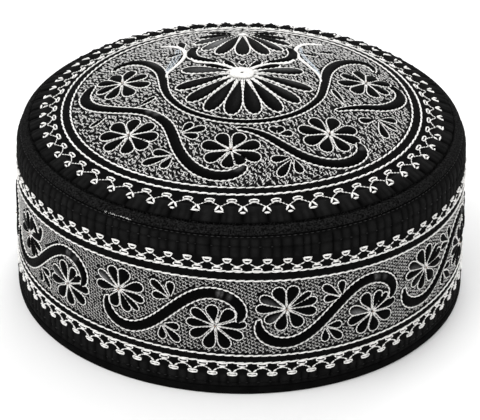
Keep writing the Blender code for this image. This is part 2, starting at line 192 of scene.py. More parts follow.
# The side scroll: distance along, height and width
SCROLL_BEND = 30.0
SIDE_SCROLL = (
    (-9.9, 34.6, 0.7), (-10.3, 31.4, 2.2), (-9.2, 27.9, 3.6), (-6.6, 25.2, 3.9), (-3.2, 23.7, 3.9),
    (0.4, 23.2, 3.9), (4.4, 23.9, 3.8), (8.6, 26.0, 3.7), (12.6, 29.0, 3.7), (16.6, 32.8, 3.7),
    (20.8, 37.0, 3.7), (25.0, 40.8, 3.8), (29.4, 43.8, 3.9), (34.0, 45.3, 4.0), (38.6, 45.1, 4.0),
    (42.8, 43.5, 4.0), (46.0, 40.5, 3.8), (47.3, 37.0, 3.2), (46.4, 34.2, 2.2), (45.0, 32.8, 0.9),
)

# Where the side scroll catches the light: share of its length, half length and strength
SCROLL_SHEEN = ((0.772, 0.008, 0.5), (0.79, 0.005, 0.35), (0.825, 0.012, 0.25))

# Side sprigs: foot, then the tips of their three leaves
SIDE_SPRIGS = (
    ((20.8, 40.4), ((12.6, 47.0), (20.4, 47.8), (13.2, 41.0))),
    ((15.7, 28.6), ((22.8, 28.0), (23.0, 21.6), (16.2, 21.6))),
)

# Crown bands: x, y and width
CROWN_BANDS = {
    "crown_lyre_band": (
        (-53.6, 20.4, 0.8), (-52.4, 23.6, 2.2), (-48.8, 25.8, 3.2), (-44.0, 25.2, 4.0),
        (-40.0, 22.0, 4.2), (-36.8, 17.4, 4.0), (-33.6, 9.8, 3.4), (-32.2, 1.0, 3.0),
        (-31.4, -6.4, 2.6), (-28.6, -15.4, 2.2), (-21.8, -25.0, 2.0), (-11.0, -31.6, 1.8),
        (1.0, -33.8, 1.8), (13.0, -31.4, 1.8), (23.5, -24.5, 2.0), (31.0, -13.2, 2.4),
        (33.4, -2.0, 2.8), (34.8, 10.6, 3.4), (37.6, 19.8, 4.0), (41.6, 27.0, 4.2), (46.6, 31.6, 4.0),
        (51.4, 32.8, 3.2), (54.6, 29.4, 2.2), (55.2, 25.0, 0.8),
    ),
    "crown_scroll_left": (
        (-60.8, 10.4, 1.2), (-62.6, 7.0, 3.0), (-64.2, 1.6, 3.8), (-62.8, -5.2, 3.9),
        (-58.2, -11.0, 3.8), (-50.6, -15.8, 3.4), (-42.0, -20.0, 3.0), (-35.8, -24.2, 3.2),
        (-30.0, -31.4, 3.6), (-27.2, -39.0, 3.8), (-25.2, -46.4, 3.8), (-22.0, -53.4, 3.9),
        (-17.4, -59.2, 4.1), (-11.4, -62.6, 4.2), (-5.0, -63.0, 4.0), (-0.2, -60.6, 3.4),
        (1.8, -57.8, 1.6),
    ),
    "crown_scroll_front": (
        (-2.4, -37.8, 0.6), (3.6, -38.8, 1.8), (10.2, -41.8, 3.0), (17.4, -46.8, 3.5),
        (24.4, -50.9, 3.8), (31.6, -52.6, 4.0), (38.4, -51.8, 4.0), (44.2, -48.4, 4.0),
        (47.6, -43.4, 3.8), (47.4, -39.6, 2.8), (45.2, -37.6, 1.0),
    ),
    "crown_scroll_right": (
        (37.4, -19.6, 0.5), (43.4, -15.6, 1.8), (50.0, -12.0, 3.0), (56.6, -8.8, 3.6),
        (61.8, -3.8, 4.0), (64.8, 2.4, 3.9), (65.2, 8.0, 3.4), (63.2, 11.8, 2.6), (59.8, 12.0, 1.0),
    ),
}
# Where the bands catch the light: share of their length, half length and strength
BAND_SHEEN = {
    "crown_scroll_left": ((0.43, 0.012, 0.6), (0.465, 0.012, 0.4), (0.97, 0.02, 0.3)),
    "crown_lyre_band": ((0.12, 0.03, 0.2),),
    "crown_scroll_front": ((0.93, 0.02, 0.3),),
}
BOWL_BAND = (
    (18.6, 34.2, 0.8), (20.6, 31.0, 2.8), (21.4, 26.8, 3.8), (20.0, 20.6, 4.0), (16.0, 16.4, 3.2),
    (12.4, 13.6, 2.0), (9.4, 11.8, 0.6),
)

# Crown flowers: x, y, half width of the petals, then the turn and length of each petal
CROWN_FLOWERS = {
    "crown_flower_1": (-49.0, 5.0, 2.45, (
        (73, 11.8), (22, 10.4), (-28, 12.6), (-71, 12.6),
        (-116, 11.6), (-166, 10.6), (146, 12.0), (112, 11.6))),
    "crown_flower_2": (51.0, 9.6, 2.45, (
        (107, 11.6), (70, 10.4), (34, 12.0), (-24, 10.0),
        (-71, 11.2), (-115, 12.8), (-152, 13.0), (163, 10.6))),
    "crown_flower_3": (-44.6, -35.4, 2.55, (
        (78, 10.0), (24, 10.8), (-18, 12.0), (-52, 11.6),
        (-92, 10.2), (-150, 10.6), (162, 12.0), (124, 11.6))),
    "crown_flower_4": (-4.0, -50.0, 2.55, (
        (66, 10.2), (20, 11.8), (-20, 12.2), (-56, 8.4),
        (-99, 9.0), (-156, 11.0), (160, 12.0), (117, 10.2))),
    "crown_flower_5": (34.8, -35.8, 2.55, (
        (78, 10.8), (32, 12.4), (-3, 12.2), (-46, 10.4),
        (-100, 10.6), (-143, 12.0), (178, 12.2), (132, 10.6))),
}

# Crown sprigs: foot, then the tips of their leaves
CROWN_SPRIGS = (
    ((-26.0, -50.8), ((-34.4, -47.4), (-38.6, -53.0), (-31.0, -56.6))),
    ((-24.3, -39.0), ((-19.7, -33.2), (-14.2, -36.6), (-17.2, -41.6))),
    ((20.4, -51.8), ((11.8, -54.2), (14.8, -62.4), (23.3, -59.6))),
    ((14.0, -40.6), ((12.0, -35.8), (15.8, -35.4), (20.0, -38.2))),
    ((54.6, -18.8), ((47.4, -22.8), (62.2, -15.4), (57.8, -29.6))),
)

# Half width of a sprig's leaves
SIDE_LEAF = 1.5
CROWN_LEAF = 1.65

# Thin leaves, each with its foot, tip and half width
CROWN_LEAVES = (
    (-54.0, -19.0, -60.6, -23.6, 1.0),
    (-42.4, -17.6, -35.0, -11.8, 1.0),
    (42.0, -14.6, 36.8, -3.4, 1.1),
    (54.6, -18.8, 62.4, -22.4, 1.0),
    (-24.6, 33.2, -26.3, 46.2, 1.6),
    (-24.6, 27.4, -31.6, 25.0, 1.2),
    (23.4, 29.4, 31.4, 29.6, 1.2),
    (30.0, 34.4, 38.0, 38.4, 1.1),
)

# White satin branches beside the palmette: x, y and width
BRANCHES = (
    (
        (-31.4, 2.0, 0.7), (-30.4, 7.0, 1.2), (-27.4, 12.8, 1.6), (-25.0, 18.6, 1.8),
        (-23.8, 26.0, 1.8), (-25.2, 34.0, 1.9), (-29.0, 40.0, 1.9), (-34.4, 43.0, 1.4),
    ),
    (
        (32.4, 1.4, 0.7), (31.2, 7.4, 1.2), (28.0, 14.0, 1.6), (24.2, 21.4, 1.8), (22.4, 29.0, 1.8),
        (23.0, 38.0, 2.0), (26.6, 46.4, 2.2), (33.4, 50.2, 1.6),
    ),
)
BOWL_LINE = (
    (-21.6, 21.6, 0.8), (-19.4, 15.2, 1.3), (-14.4, 12.6, 1.7), (-8.0, 9.2, 1.6), (-3.6, 5.4, 1.0),
)

# How far out the pale strands beside the left and the right branch lie
STRAND_SHIFTS = ((2.0, 3.1, 4.4), (2.1, 3.0))

# Rosette: turn from the front and length of the left petal, then of the right one, their half width,
# and how much light the left and the right one catch
ROSETTE_ROOT = (0.2, 0.3)
ROSETTE_PETALS = (
    (8.8, 30.2, 10.2, 29.6, 3.2, 0.06, 0.06),
    (27.9, 30.3, 29.7, 30.6, 3.15, 0.06, 0.06),
    (48.8, 29.4, 50.3, 29.8, 3.05, 0.06, 0.12),
    (72.2, 28.4, 74.6, 29.4, 2.9, 0.06, 0.2),
    (107.0, 26.0, 107.0, 25.8, 3.2, 0.3, 0.4),
    (123.6, 18.6, 125.6, 18.6, 1.7, 0.0, 0.0),
    (150.5, 14.8, 150.5, 14.8, 1.5, 0.0, 0.0),
)
ROSETTE_HEART = 4.6
ROSETTE_TIP = ((0.0, 8.4), (0.0, 13.0), 1.2)
ROSETTE_RAY = (3.0, 11.0)
DISC_RADIUS = 5.4
DISC_MIDDLE = (-0.1, -0.4)
PALMETTE_ROOT = (0.0, 57.5)
PALMETTE_PETALS = (
    (0.0, 37.8, 0.0, 37.8, 2.8, 0.0, 0.0),
    (15.2, 37.2, 15.2, 37.2, 3.0, 0.0, 0.0),
    (29.2, 33.2, 29.2, 33.2, 2.8, 0.9, 0.3),
    (48.4, 26.8, 48.4, 26.8, 2.8, 0.3, 0.0),
    (71.0, 20.4, 71.0, 20.4, 2.8, 0.0, 0.0),
    (105.0, 15.4, 105.0, 15.4, 2.4, 0.0, 0.0),
)
PALMETTE_HEART = 3.4

# Zigzag rows round the wall. Each has the levels of its outer and inner blocks, the turn of the first,
# how much the step grows across the front, which way the blocks point, then the outer block's bars
# (reach and level), its sides (along and level of both ends) and where its thread starts
SIDE_BLOCKS = 75
ZIGZAGS = {
    "upper_zigzag": (
        60.0, 57.0, 1.75, 6.0, 1.0,
        ((2.0, 1.1), (1.15, -0.45)), ((1.75, 1.0, 0.6, -0.7),), (1.1, -0.95)),
    "lower_zigzag": (
        10.1, 13.3, 3.3, 3.2, -1.0,
        ((1.95, 1.1), (1.8, 0.1)), ((1.75, 1.0, 1.65, -0.1), (0.3, -0.4, 1.8, -1.6)), (1.8, -1.6)),
}
# The inner blocks, alike in both rows, and where a thread ends beside one
INNER_BARS = ((1.5, 0.35), (1.95, -0.85))
INNER_SIDES = ((1.9, -0.8, 1.5, 0.3), (-0.9, 0.3, 1.4, 1.3))
THREAD_END = (1.2, 1.3)

# The crown's zigzag: number round, turn of the first, then along and radius of both ends of each bar
CROWN_TEETH = 65
CROWN_TOOTH_PHASE = 0.6
TOOTH_RADIUS = 78.0
TRIANGLE_BARS = ((-1.9, 81.7, 1.9, 81.7), (-1.7, 81.5, 0.0, 78.9), (1.7, 81.5, 0.0, 78.9))
EYE_BARS = (
    (-1.9, 75.5, 1.9, 75.4), (-1.7, 76.6, 1.7, 76.6), (-1.9, 75.5, -1.6, 76.7), (1.9, 75.4, 1.6, 76.7),
)

# Camera, from the photograph's perspective
CAMERA_PLACE = (0.0, -0.8989, 0.5484)
CAMERA_AIM = (-0.0002, 0.0, 0.0296)
CAMERA_LENS = 186.2
CAMERA_ROLL = 0.7

# The lights: place, size and power, aimed at the cap's middle
LIGHTS = {
    "key": ((-0.7, -0.5, 1.3), 1.0, 9.0),
    "back": ((0.3, 1.1, 1.1), 0.9, 9.0),
}
LIGHT_AIM = (0.0, 0.0, 0.04)
FLOOR_REACH = 6.0


def crown_map(x, y, lift):
    """Lays plan points on the crown, in metres."""
    radius = np.hypot(x, y)
    share = np.maximum(radius, 1e-6) / CROWN_DROP_RADIUS
    slope = CROWN_DROP * CROWN_POWER / CROWN_DROP_RADIUS * share ** (CROWN_POWER - 1.0)
    steep = np.sqrt(1.0 + slope ** 2)
    reach = radius + lift * slope / steep
    height = APEX - CROWN_DROP * share ** CROWN_POWER + lift / steep
    bearing = np.arctan2(y, x)
    return np.stack([reach * np.cos(bearing), reach * np.sin(bearing), height], -1) * MM


def wall_map(along, up, lift):
    """Lays strip points on the wall and over the shoulder, in metres."""
    bearing = along / WALL_RADIUS
    turn = np.maximum(up - WALL_TOP, 0.0) / SHOULDER_RADIUS
    flare = HEM_FLARE * (1.0 - np.minimum(up / WALL_TOP, 1.0) ** 2)
    reach = WALL_RADIUS + flare - SHOULDER_RADIUS + (SHOULDER_RADIUS + lift) * np.cos(turn)
    level = np.minimum(up, WALL_TOP) + (SHOULDER_RADIUS + lift) * np.sin(turn)
    return np.stack([reach * np.sin(bearing), -reach * np.cos(bearing), level], -1) * MM


def shoulder_up(turn):
    """Distance up the wall strip of a turn on the shoulder."""
    return WALL_TOP + math.radians(turn) * SHOULDER_RADIUS


def side_repeats():
    """Every side repeat: those at the front, then the others at even steps."""
    last = FRONT_REPEATS[-1][0]
    step = (FRONT_REPEATS[0][0] + 360.0 - last) / (BACK_REPEATS + 1)
    repeats = list(FRONT_REPEATS)
    for index in range(BACK_REPEATS):
        turn = last + step * (index + 1)
        flowers = [(turn + after, height, petals) for after, height, petals in BACK_FLOWERS]
        repeats.append((turn, 1.0, 1.0, 0.0, *flowers))
    return repeats


def along_of(turn):
    """Distance along the wall strip of a turn from the front."""
    return math.radians(turn) * WALL_RADIUS


def band_up(along, up):
    """Height on the wall of a place in its band, which sits askew and narrows at the flanks."""
    bearing = along / WALL_RADIUS
    stray = BAND_TILT * np.sin(2.0 * bearing)
    stray = stray + BAND_SQUEEZE * np.sin(bearing) ** 2 * (up - BAND_MIDDLE)
    return up - stray * fade(up, *BAND_ENDS, 5.0)


def band_map(along, up, lift):
    """Lays strip points on the wall's band, in metres."""
    return wall_map(along, band_up(along, up), lift)


def ring_radius(radius, bearing):
    """Radius on the crown of a place in its rings, which aren't quite round."""
    once, twice, thrice = RING_SWELL
    swell = once * np.cos(bearing) + twice * np.sin(2.0 * bearing) + thrice * np.cos(3.0 * bearing)
    return radius + swell * fade(radius, *RING_ENDS, 9.0)


def ring_map(x, y, lift):
    """Lays plan points on the crown's rings, in metres."""
    radius = np.hypot(x, y)
    share = ring_radius(radius, np.arctan2(x, -y)) / radius
    return crown_map(x * share, y * share, lift)


def fade(value, low, high, soft):
    """One between low and high, with soft ends."""
    rise = np.clip((value - low) / soft, 0.0, 1.0)
    fall = np.clip((high - value) / soft, 0.0, 1.0)
    return rise * rise * (3 - 2 * rise) * fall * fall * (3 - 2 * fall)


# Meshes


def new_mesh(name, points, polygons, flat_map=None):
    """A mesh from points and lists of equal polygons, with an optional map in millimetres."""
    mesh = bpy.data.meshes.new(name)
    corners = np.concatenate([p.ravel() for p in polygons]).astype(np.int32)
    sizes = np.concatenate([np.full(len(p), p.shape[1]) for p in polygons])
    starts = np.concatenate([[0], np.cumsum(sizes)[:-1]]).astype(np.int32)
    mesh.vertices.add(len(points))
    mesh.vertices.foreach_set("co", np.asarray(points, np.float32).ravel())
    mesh.loops.add(len(corners))
    mesh.loops.foreach_set("vertex_index", corners)
    mesh.polygons.add(len(sizes))
    mesh.polygons.foreach_set("loop_start", starts)
    mesh.update(calc_edges=True)
    if flat_map is not None:
        layer = mesh.uv_layers.new(name="flat")
        layer.data.foreach_set("uv", np.asarray(flat_map, np.float32).ravel())
    mesh.shade_smooth()
    return mesh


def mark_points(mesh, name, values):
    """Gives each point of a mesh a value that its material reads."""
    mesh.attributes.new(name, "FLOAT", "POINT").data.foreach_set("value", values.astype(np.float32))


def add_piece(mesh, material, replaces=()):
    """Adds a piece that rides on the cap, named like its mesh."""
    if not mesh.materials:
        mesh.materials.append(material)
    piece = bpy.data.objects.new(mesh.name, mesh)
    bpy.context.scene.collection.objects.link(piece)
    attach(piece, BODY)
    if replaces:
        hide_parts(*replaces)


def tube_mesh(name, segments, rows, place, closed=True, shade_of=None):
    """A mesh of rings. place(angles, row) gives the points of one ring, and closed joins the last.

    The flat map has the distance along the ring and the row's own distance. The last argument gives
    painted shade for each ring's points, from nought, painted darkest, in a crease to one on a crest.
    """
    column = np.arange(segments)
    angles = column / segments * math.tau
    after = (column + 1) % segments
    u0, u1 = column / segments * WALL_ROUND, (column + 1) / segments * WALL_ROUND
    quads, uvs = [], []
    for first in range(len(rows) if closed else len(rows) - 1):
        second = (first + 1) % len(rows)
        a, b = first * segments, second * segments
        quads.append(np.stack([a + column, a + after, b + after, b + column], -1))
        v0, v1 = (np.full(segments, rows[index][0], float) for index in (first, second))
        uvs.append(np.stack([u0, v0, u1, v0, u1, v1, u0, v1], -1).reshape(-1, 2))
    points = np.concatenate([place(angles, row) for row in rows])
    mesh = new_mesh(name, points, [np.concatenate(quads)], np.concatenate(uvs))
    # Painted shade: each point carries a value that darkens the cotton in creases and grooves
    if shade_of:
        mark_points(mesh, "painted_shade", np.concatenate([shade_of(angles, row) for row in rows]))
    return mesh


def pad_arrays(left, right, crest, peaks, across=7):
    """A closed pad between a left and a right edge, puffed up between them.

    left and right are rows of flat points, crest is each row's height, and peaks say where it catches
    the light. The return is the flat points with their lifts, the quads, the end triangles, and the
    flat map and the light of each point.
    """
    rows = len(left)
    share = np.linspace(0.0, 1.0, across)
    bulge = (1.0 - (2.0 * share - 1.0) ** 2) ** 0.5
    flat = left[:, None, :] * (1.0 - share[None, :, None]) + right[:, None, :] * share[None, :, None]
    lift = FIELD_LIFT + crest[:, None] * bulge[None, :]
    points = np.concatenate([flat, lift[..., None]], -1).reshape(-1, 3)
    index = np.arange(rows * across).reshape(rows, across)
    top = np.stack([index[:-1, :-1], index[:-1, 1:], index[1:, 1:], index[1:, :-1]], -1)
    under = np.stack([index[:-1, 0], index[1:, 0], index[1:, -1], index[:-1, -1]], -1)
    fan = np.array([(0, step + 1, step) for step in range(1, across - 1)])
    caps = np.concatenate([index[0][fan], index[-1][fan[:, ::-1]]])
    run = path_run((left + right) / 2.0)
    wide = np.linalg.norm(left - right, axis=1)
    chart = np.stack([np.repeat(run, across), ((share[None, :] - 0.5) * wide[:, None]).ravel()], -1)
    return points, np.concatenate([top.reshape(-1, 4), under]), caps, chart, pad_sheen(rows, across, peaks)


def pad_sheen(rows, across, peaks):
    """How much light each point of a pad catches: peaks of share along, half length and strength."""
    along = np.linspace(0.0, 1.0, rows)[:, None]
    side = np.linspace(-1.0, 1.0, across)[None, :]
    light = np.zeros((rows, across))
    for place, half, strength in peaks:
        light += strength * np.exp(-((along - place) / half) ** 2 - ((side + 0.4) / 0.75) ** 2)
    return light.ravel()

def pad_mesh(name, pads, surface):
    """A mesh of pads laid on a surface."""
    points, chart, light = (np.concatenate([pad[part] for pad in pads]) for part in (0, 3, 4))
    shifts = np.cumsum([0] + [len(pad[0]) for pad in pads])
    quads, caps = (np.concatenate([pad[part] + shift for pad, shift in zip(pads, shifts)]) for part in (1, 2))
    flat_map = np.concatenate([chart[quads.ravel()], chart[caps.ravel()]])
    mesh = new_mesh(name, surface(*points.T), [quads, caps], flat_map)
    mark_points(mesh, "sheen", light)
    return mesh


# Routes


def toward(turn):
    """A unit step at a turn in degrees."""
    angle = math.radians(turn)
    return np.array((math.cos(angle), math.sin(angle)))


def mirrored(route):
    """The same route on the other side of the cap's middle."""
    return tuple((-x, y, width) for x, y, width in route)


def path_run(points):
    """Distance along a path at each of its points."""
    steps = np.linalg.norm(np.diff(points[:, :2], axis=0), axis=1)
    return np.concatenate([[0.0], np.cumsum(steps)])


def smooth(route, spacing=0.6):
    """A Catmull-Rom curve through a route, at an even spacing, with every column of it."""
    route = np.asarray(route, float)
    padded = np.vstack([2 * route[0] - route[1], route, 2 * route[-1] - route[-2]])
    t = np.linspace(0.0, 1.0, 24, endpoint=False)[:, None]
    parts = []
    for a, b, c, d in zip(padded, padded[1:], padded[2:], padded[3:]):
        bend = 2.0 * a - 5.0 * b + 4.0 * c - d
        twist = 3.0 * b - a - 3.0 * c + d
        parts.append(0.5 * (2.0 * b + t * (c - a) + t ** 2 * bend + t ** 3 * twist))
    dense = np.vstack([*parts, route[-1]])
    return resample(dense, spacing)


def resample(points, spacing):
    """The same path at an even spacing."""
    run = path_run(points)
    at = np.linspace(0.0, run[-1], max(int(round(run[-1] / spacing)) + 1, 3))
    return np.stack([np.interp(at, run, column) for column in points.T], -1)


def normals(path):
    """Unit normals to the left of a path."""
    run = np.gradient(path[:, :2], axis=0)
    run /= np.maximum(np.linalg.norm(run, axis=1), 1e-9)[:, None]
    return np.stack([-run[:, 1], run[:, 0]], -1)


def band_edges(route, grow=0.0, spacing=0.7):
    """The left and right edges of a band whose route has a width column."""
    path = smooth(route, spacing)
    half = (path[:, 2] / 2.0 + grow)[:, None] * normals(path)
    return path[:, :2] + half, path[:, :2] - half


def ring_edge(left, right):
    """The closed edge round a band, from its left side over both ends."""
    return np.vstack([left, right[::-1], left[:1]])


def petal_edges(foot, tip, half_width, grow=0.0, rows=13):
    """The left and right edges of a drop-shaped petal, narrow at its foot and round at its tip."""
    foot = np.asarray(foot, float)
    run = np.asarray(tip, float) - foot
    length = np.linalg.norm(run)
    run = run / length
    side = np.array([-run[1], run[0]])
    swing = np.linspace(0.16, math.pi - 0.14, rows)
    share = (1.0 - np.cos(swing)) / 2.0
    wide = np.sin(swing) * np.sin(swing / 2.0) ** 1.6
    wide = wide / PETAL_SWELL * (half_width + grow)
    reach = share * (length + grow)
    middle = foot + reach[:, None] * run
    return middle + wide[:, None] * side, middle - wide[:, None] * side


# Stitches


def stitch_template(rings, sides):
    """A closed stitch, as shares of its length, width and height, with its faces."""
    points = [(0.0, 0.0, 0.0)]
    for ring in range(rings):
        share = 0.5 - 0.5 * math.cos(math.pi * (ring + 1) / (rings + 1))
        swell = math.sin(math.pi * share) ** 0.6
        for side in range(sides):
            angle = math.tau * (side + 0.5) / sides
            points.append((share, 0.5 * swell * math.cos(angle), 0.5 * swell * math.sin(angle)))
    points.append((1.0, 0.0, 0.0))
    last = len(points) - 1
    triangles = []
    quads = []
    for side in range(sides):
        after = (side + 1) % sides
        triangles.append((0, 1 + after, 1 + side))
        top = 1 + (rings - 1) * sides
        triangles.append((last, top + side, top + after))
        for ring in range(rings - 1):
            low = 1 + ring * sides
            high = low + sides
            quads.append((low + side, low + after, high + after, high + side))
    return np.array(points), np.array(triangles), np.array(quads).reshape(-1, 4)


SEED = stitch_template(1, 4)
STRAND = stitch_template(3, 5)


def add_stitches(name, stitches, surface, material, template=STRAND, replaces=()):
    """Adds a piece of stitches on a surface: rows of x0, y0, x1, y1, width, height and base."""
    points, triangles, quads = template
    rows = np.asarray(stitches, float)
    start = rows[:, None, 0:2]
    run = rows[:, None, 2:4] - start
    length = np.maximum(np.linalg.norm(run, axis=2, keepdims=True), 1e-9)
    side = np.stack([-run[..., 1], run[..., 0]], -1) / length
    flat = start + run * points[None, :, 0:1] + side * points[None, :, 1:2] * rows[:, None, 4:5]
    rise = rows[:, 5:6] * (0.22 + points[None, :, 2])
    arch = rows[:, 5:6] * 0.2 * np.sin(math.pi * points[None, :, 0])
    lift = rows[:, 6:7] + rise + arch
    shift = (np.arange(len(rows)) * len(points))[:, None, None]
    faces = [(triangles[None] + shift).reshape(-1, 3)]
    if len(quads):
        faces.append((quads[None] + shift).reshape(-1, 4))
    laid = surface(flat[..., 0].ravel(), flat[..., 1].ravel(), lift.ravel())
    add_piece(new_mesh(name, laid, faces), material, replaces)


def back_stitch(path, size=CORD, base=FIELD_LIFT, slant=0.15, lap=0.14):
    """Stitches end to end along a path, each a little across it, like a twisted cord."""
    length, width, height = size
    run = path_run(path)
    count = max(int(round(run[-1] / length)), 1)
    ends = np.linspace(0.0, run[-1], count + 1)
    side = normals(path)
    across = np.array((-slant, slant))
    rows = []
    for low, high in zip(ends, ends[1:]):
        stretch = np.clip([low - lap, high + lap], 0.0, run[-1])
        ends_x = np.interp(stretch, run, path[:, 0]) + np.interp(stretch, run, side[:, 0]) * across
        ends_y = np.interp(stretch, run, path[:, 1]) + np.interp(stretch, run, side[:, 1]) * across
        rows.append((ends_x[0], ends_y[0], ends_x[1], ends_y[1], width, height, base))
    return rows


# Motifs: each gathers pads, white stitches and the edges that the ground stitches keep out of


class Motif:
    """The drawn parts of a motif, on its own flat surface."""

    def __init__(self):
        self.pads = []
        self.threads = []
        self.edges = []

    def band(self, route, peaks=(), crest=1.15, cord=CORD, gap=0.42):
        """A padded band with a white cord round it."""
        left, right = band_edges(route)
        rows = len(left)
        ends = np.minimum(np.arange(rows), np.arange(rows)[::-1]) / 3.0
        height = crest * np.clip(0.35 + 0.65 * ends, 0.0, 1.0)
        self.pads.append(pad_arrays(left, right, height, peaks, across=9))
        self.threads += back_stitch(ring_edge(*band_edges(route, grow=gap)), cord)
        self.edges.append(ring_edge(*band_edges(route, grow=gap + 0.7)))
        return self

    def petal(self, foot, tip, half_width, sheen=0.0, crest=1.0, cord=FINE_CORD, gap=0.34):
        """A padded petal with a white cord round it."""
        left, right = petal_edges(foot, tip, half_width)
        swing = np.linspace(0.1, math.pi - 0.25, len(left))
        self.pads.append(pad_arrays(left, right, crest * np.sin(swing) ** 0.6, ((0.55, 0.3, sheen),)))
        wide_left, wide_right = petal_edges(foot, tip, half_width, grow=gap, rows=25)
        self.threads += back_stitch(np.vstack([wide_left, wide_right[::-1]]), cord)
        self.edges.append(ring_edge(*petal_edges(foot, tip, half_width, grow=gap + 0.6)))

    def flower(self, x, y, petals):
        """Petals about a middle, each with its turn, length, half width and sheen, and rays between."""
        middle = np.array((x, y))
        for index, (turn, length, half_width, *sheen) in enumerate(petals):
            aim = toward(turn)
            self.petal(middle + aim * 1.2, middle + aim * length, half_width, *sheen)
            apart = (petals[index - 1][0] - turn) % 360.0
            self.ray(middle, turn + apart / 2.0, 0.45, 1.2 + apart / 22.0, 0.66)
        return self

    def ray(self, middle, turn, start, end, width=0.8, height=0.7):
        """One straight white stitch out from a middle."""
        aim = toward(turn)
        self.threads.append((*(middle + aim * start), *(middle + aim * end), width, height, FIELD_LIFT))

    def sprig(self, foot, tips, half_width):
        """Leaves that fan out from one foot."""
        foot = np.array(foot)
        for tip in tips:
            self.petal(foot + (np.array(tip) - foot) * 0.12, tip, half_width, crest=0.9)

    def fan(self, root, petals, heart):
        """Padded petals about a root, a left and a right one in each row of the table."""
        root = np.array(root)
        for left_turn, left_length, right_turn, right_length, half_width, *sheens in petals:
            pair = ((-left_turn, left_length, sheens[0]), (right_turn, right_length, sheens[1]))
            for turn, length, sheen in pair if left_turn else pair[:1]:
                aim = toward(turn - 90.0)
                self.petal(root + aim * heart, root + aim * length, half_width, sheen, 1.15, CORD, 0.4)


def side_scroll_motif(hook, reach):
    """The raised scroll of one side repeat, its lower hook and its upper end widened by factors."""
    route = []
    for x, up, width in SIDE_SCROLL:
        along = x * hook if x < 0.0 else min(x, SCROLL_BEND) + max(x - SCROLL_BEND, 0.0) * reach
        route.append((along, up, width))
    return Motif().band(route, SCROLL_SHEEN)


def side_sprig_motif(shift):
    """The two sprigs of one side repeat, the upper one shifted along."""
    motif = Motif()
    for (foot, tips), along in zip(SIDE_SPRIGS, (shift, 0.0)):
        motif.sprig((foot[0] + along, foot[1]), [(x + along, up) for x, up in tips], SIDE_LEAF)
    return motif


def rosette_motif():
    """The rosette on the middle of the crown."""
    motif = Motif()
    motif.fan(ROSETTE_ROOT, ROSETTE_PETALS, ROSETTE_HEART)
    motif.petal(*ROSETTE_TIP)
    turns = [0.0]
    for before, after in zip(ROSETTE_PETALS, ROSETTE_PETALS[1:]):
        turns += [(before[2] + after[2]) / 2.0, -(before[0] + after[0]) / 2.0]
    for turn in turns:
        motif.ray(np.array(ROSETTE_ROOT), turn - 90.0, *ROSETTE_RAY)
    return motif


def palmette_motif():
    """The fan of petals at the back of the crown, over its bowl, with a knot at its root."""
    motif = Motif()
    motif.fan(PALMETTE_ROOT, PALMETTE_PETALS, PALMETTE_HEART)
    for turn in range(20, 200, 45):
        motif.ray(np.array(PALMETTE_ROOT), turn, -2.4, 2.4, 0.9, 1.0)
    return motif


def crown_sprig_motif():
    """The sprigs and thin leaves of the crown."""
    motif = Motif()
    for foot, tips in CROWN_SPRIGS:
        motif.sprig(foot, tips, CROWN_LEAF)
    for x, y, tip_x, tip_y, half_width in CROWN_LEAVES:
        motif.petal((x, y), (tip_x, tip_y), half_width, crest=0.8)
    return motif


# Ground: small pale seed stitches on a slant, kept out of the motifs


def inside(points, edge):
    """Whether points lie inside a closed edge."""
    low = edge.min(0)
    high = edge.max(0)
    found = np.zeros(len(points), bool)
    near = np.where(np.all((points > low) & (points < high), axis=1))[0]
    if not len(near):
        return found
    x = points[near, 0][:, None]
    y = points[near, 1][:, None]
    x0, y0 = edge[:-1, 0][None], edge[:-1, 1][None]
    x1, y1 = edge[1:, 0][None], edge[1:, 1][None]
    crosses = (y0 > y) != (y1 > y)
    rise = np.where(np.abs(y1 - y0) < 1e-12, 1e-12, y1 - y0)
    where = x0 + (y - y0) * (x1 - x0) / rise
    found[near] = (np.sum(crosses & (x < where), axis=1) % 2) == 1
    return found


def net_grid(width, height, jitter):
    """Points in slanted rows over a rectangle about its middle."""
    pitch, apart = NET_PITCH
    reach = math.hypot(width, height) / 2.0 + 2.0
    u, v = np.meshgrid(np.arange(-reach, reach, pitch), np.arange(-reach, reach, apart))
    u = u + (np.arange(len(u)) % 2)[:, None] * pitch / 2.0
    u = u.ravel() + rng.normal(0.0, jitter, u.size)
    v = v.ravel() + rng.normal(0.0, jitter * 0.8, v.size)
    c, s = math.cos(NET_SLANT), math.sin(NET_SLANT)
    points = np.stack([u * c - v * s, u * s + v * c], -1)
    keep = (np.abs(points[:, 0]) < width / 2.0) & (np.abs(points[:, 1]) < height / 2.0)
    return points[keep]


def seed_rows(points, slant, spread, size):
    """Small stitches at points, turned about a slant."""
    length, width, height = size
    count = len(points)
    angle = slant + rng.normal(0.0, spread, count)
    half = length * rng.uniform(0.4, 0.58, count)
    c, s = np.cos(angle) * half, np.sin(angle) * half
    wide = width * rng.uniform(0.8, 1.2, count)
    tall = height * rng.uniform(0.8, 1.2, count)
    base = np.full(count, FIELD_LIFT - 0.05)
    x, y = points[:, 0], points[:, 1]
    return np.stack([x - c, y - s, x + c, y + s, wide, tall, base], -1)


def net_rows(points, spread, thick):
    """Stitches along slanted rows, each with a finer one across that ties it to the next row."""
    length, width, height = NET_ALONG
    along = seed_rows(points, NET_SLANT, spread, (length, width * thick, height))
    turn = NET_SLANT + NET_CROSS
    reach = NET_PITCH[1] / 2.0
    shift = np.array((math.cos(turn) * reach, math.sin(turn) * reach))
    across = seed_rows(points + shift, turn, spread, NET_ACROSS)
    return np.concatenate([along, across])


# Cloth


def waves(angle, counts, phases):
    """A gentle uneven swell round the cap."""
    return sum(np.sin(angle * n + p) for n, p in zip(counts, phases)) / len(counts)


def rib_profile(angle, ribs, phase, power=0.5):
    """One inside each rib and nought in the groove between two."""
    uneven = 0.012 * waves(angle, (23, 37, 51), (0.3, 1.7, 4.1))
    return np.abs(np.cos((angle + uneven - math.radians(phase)) * ribs / 2.0)) ** power


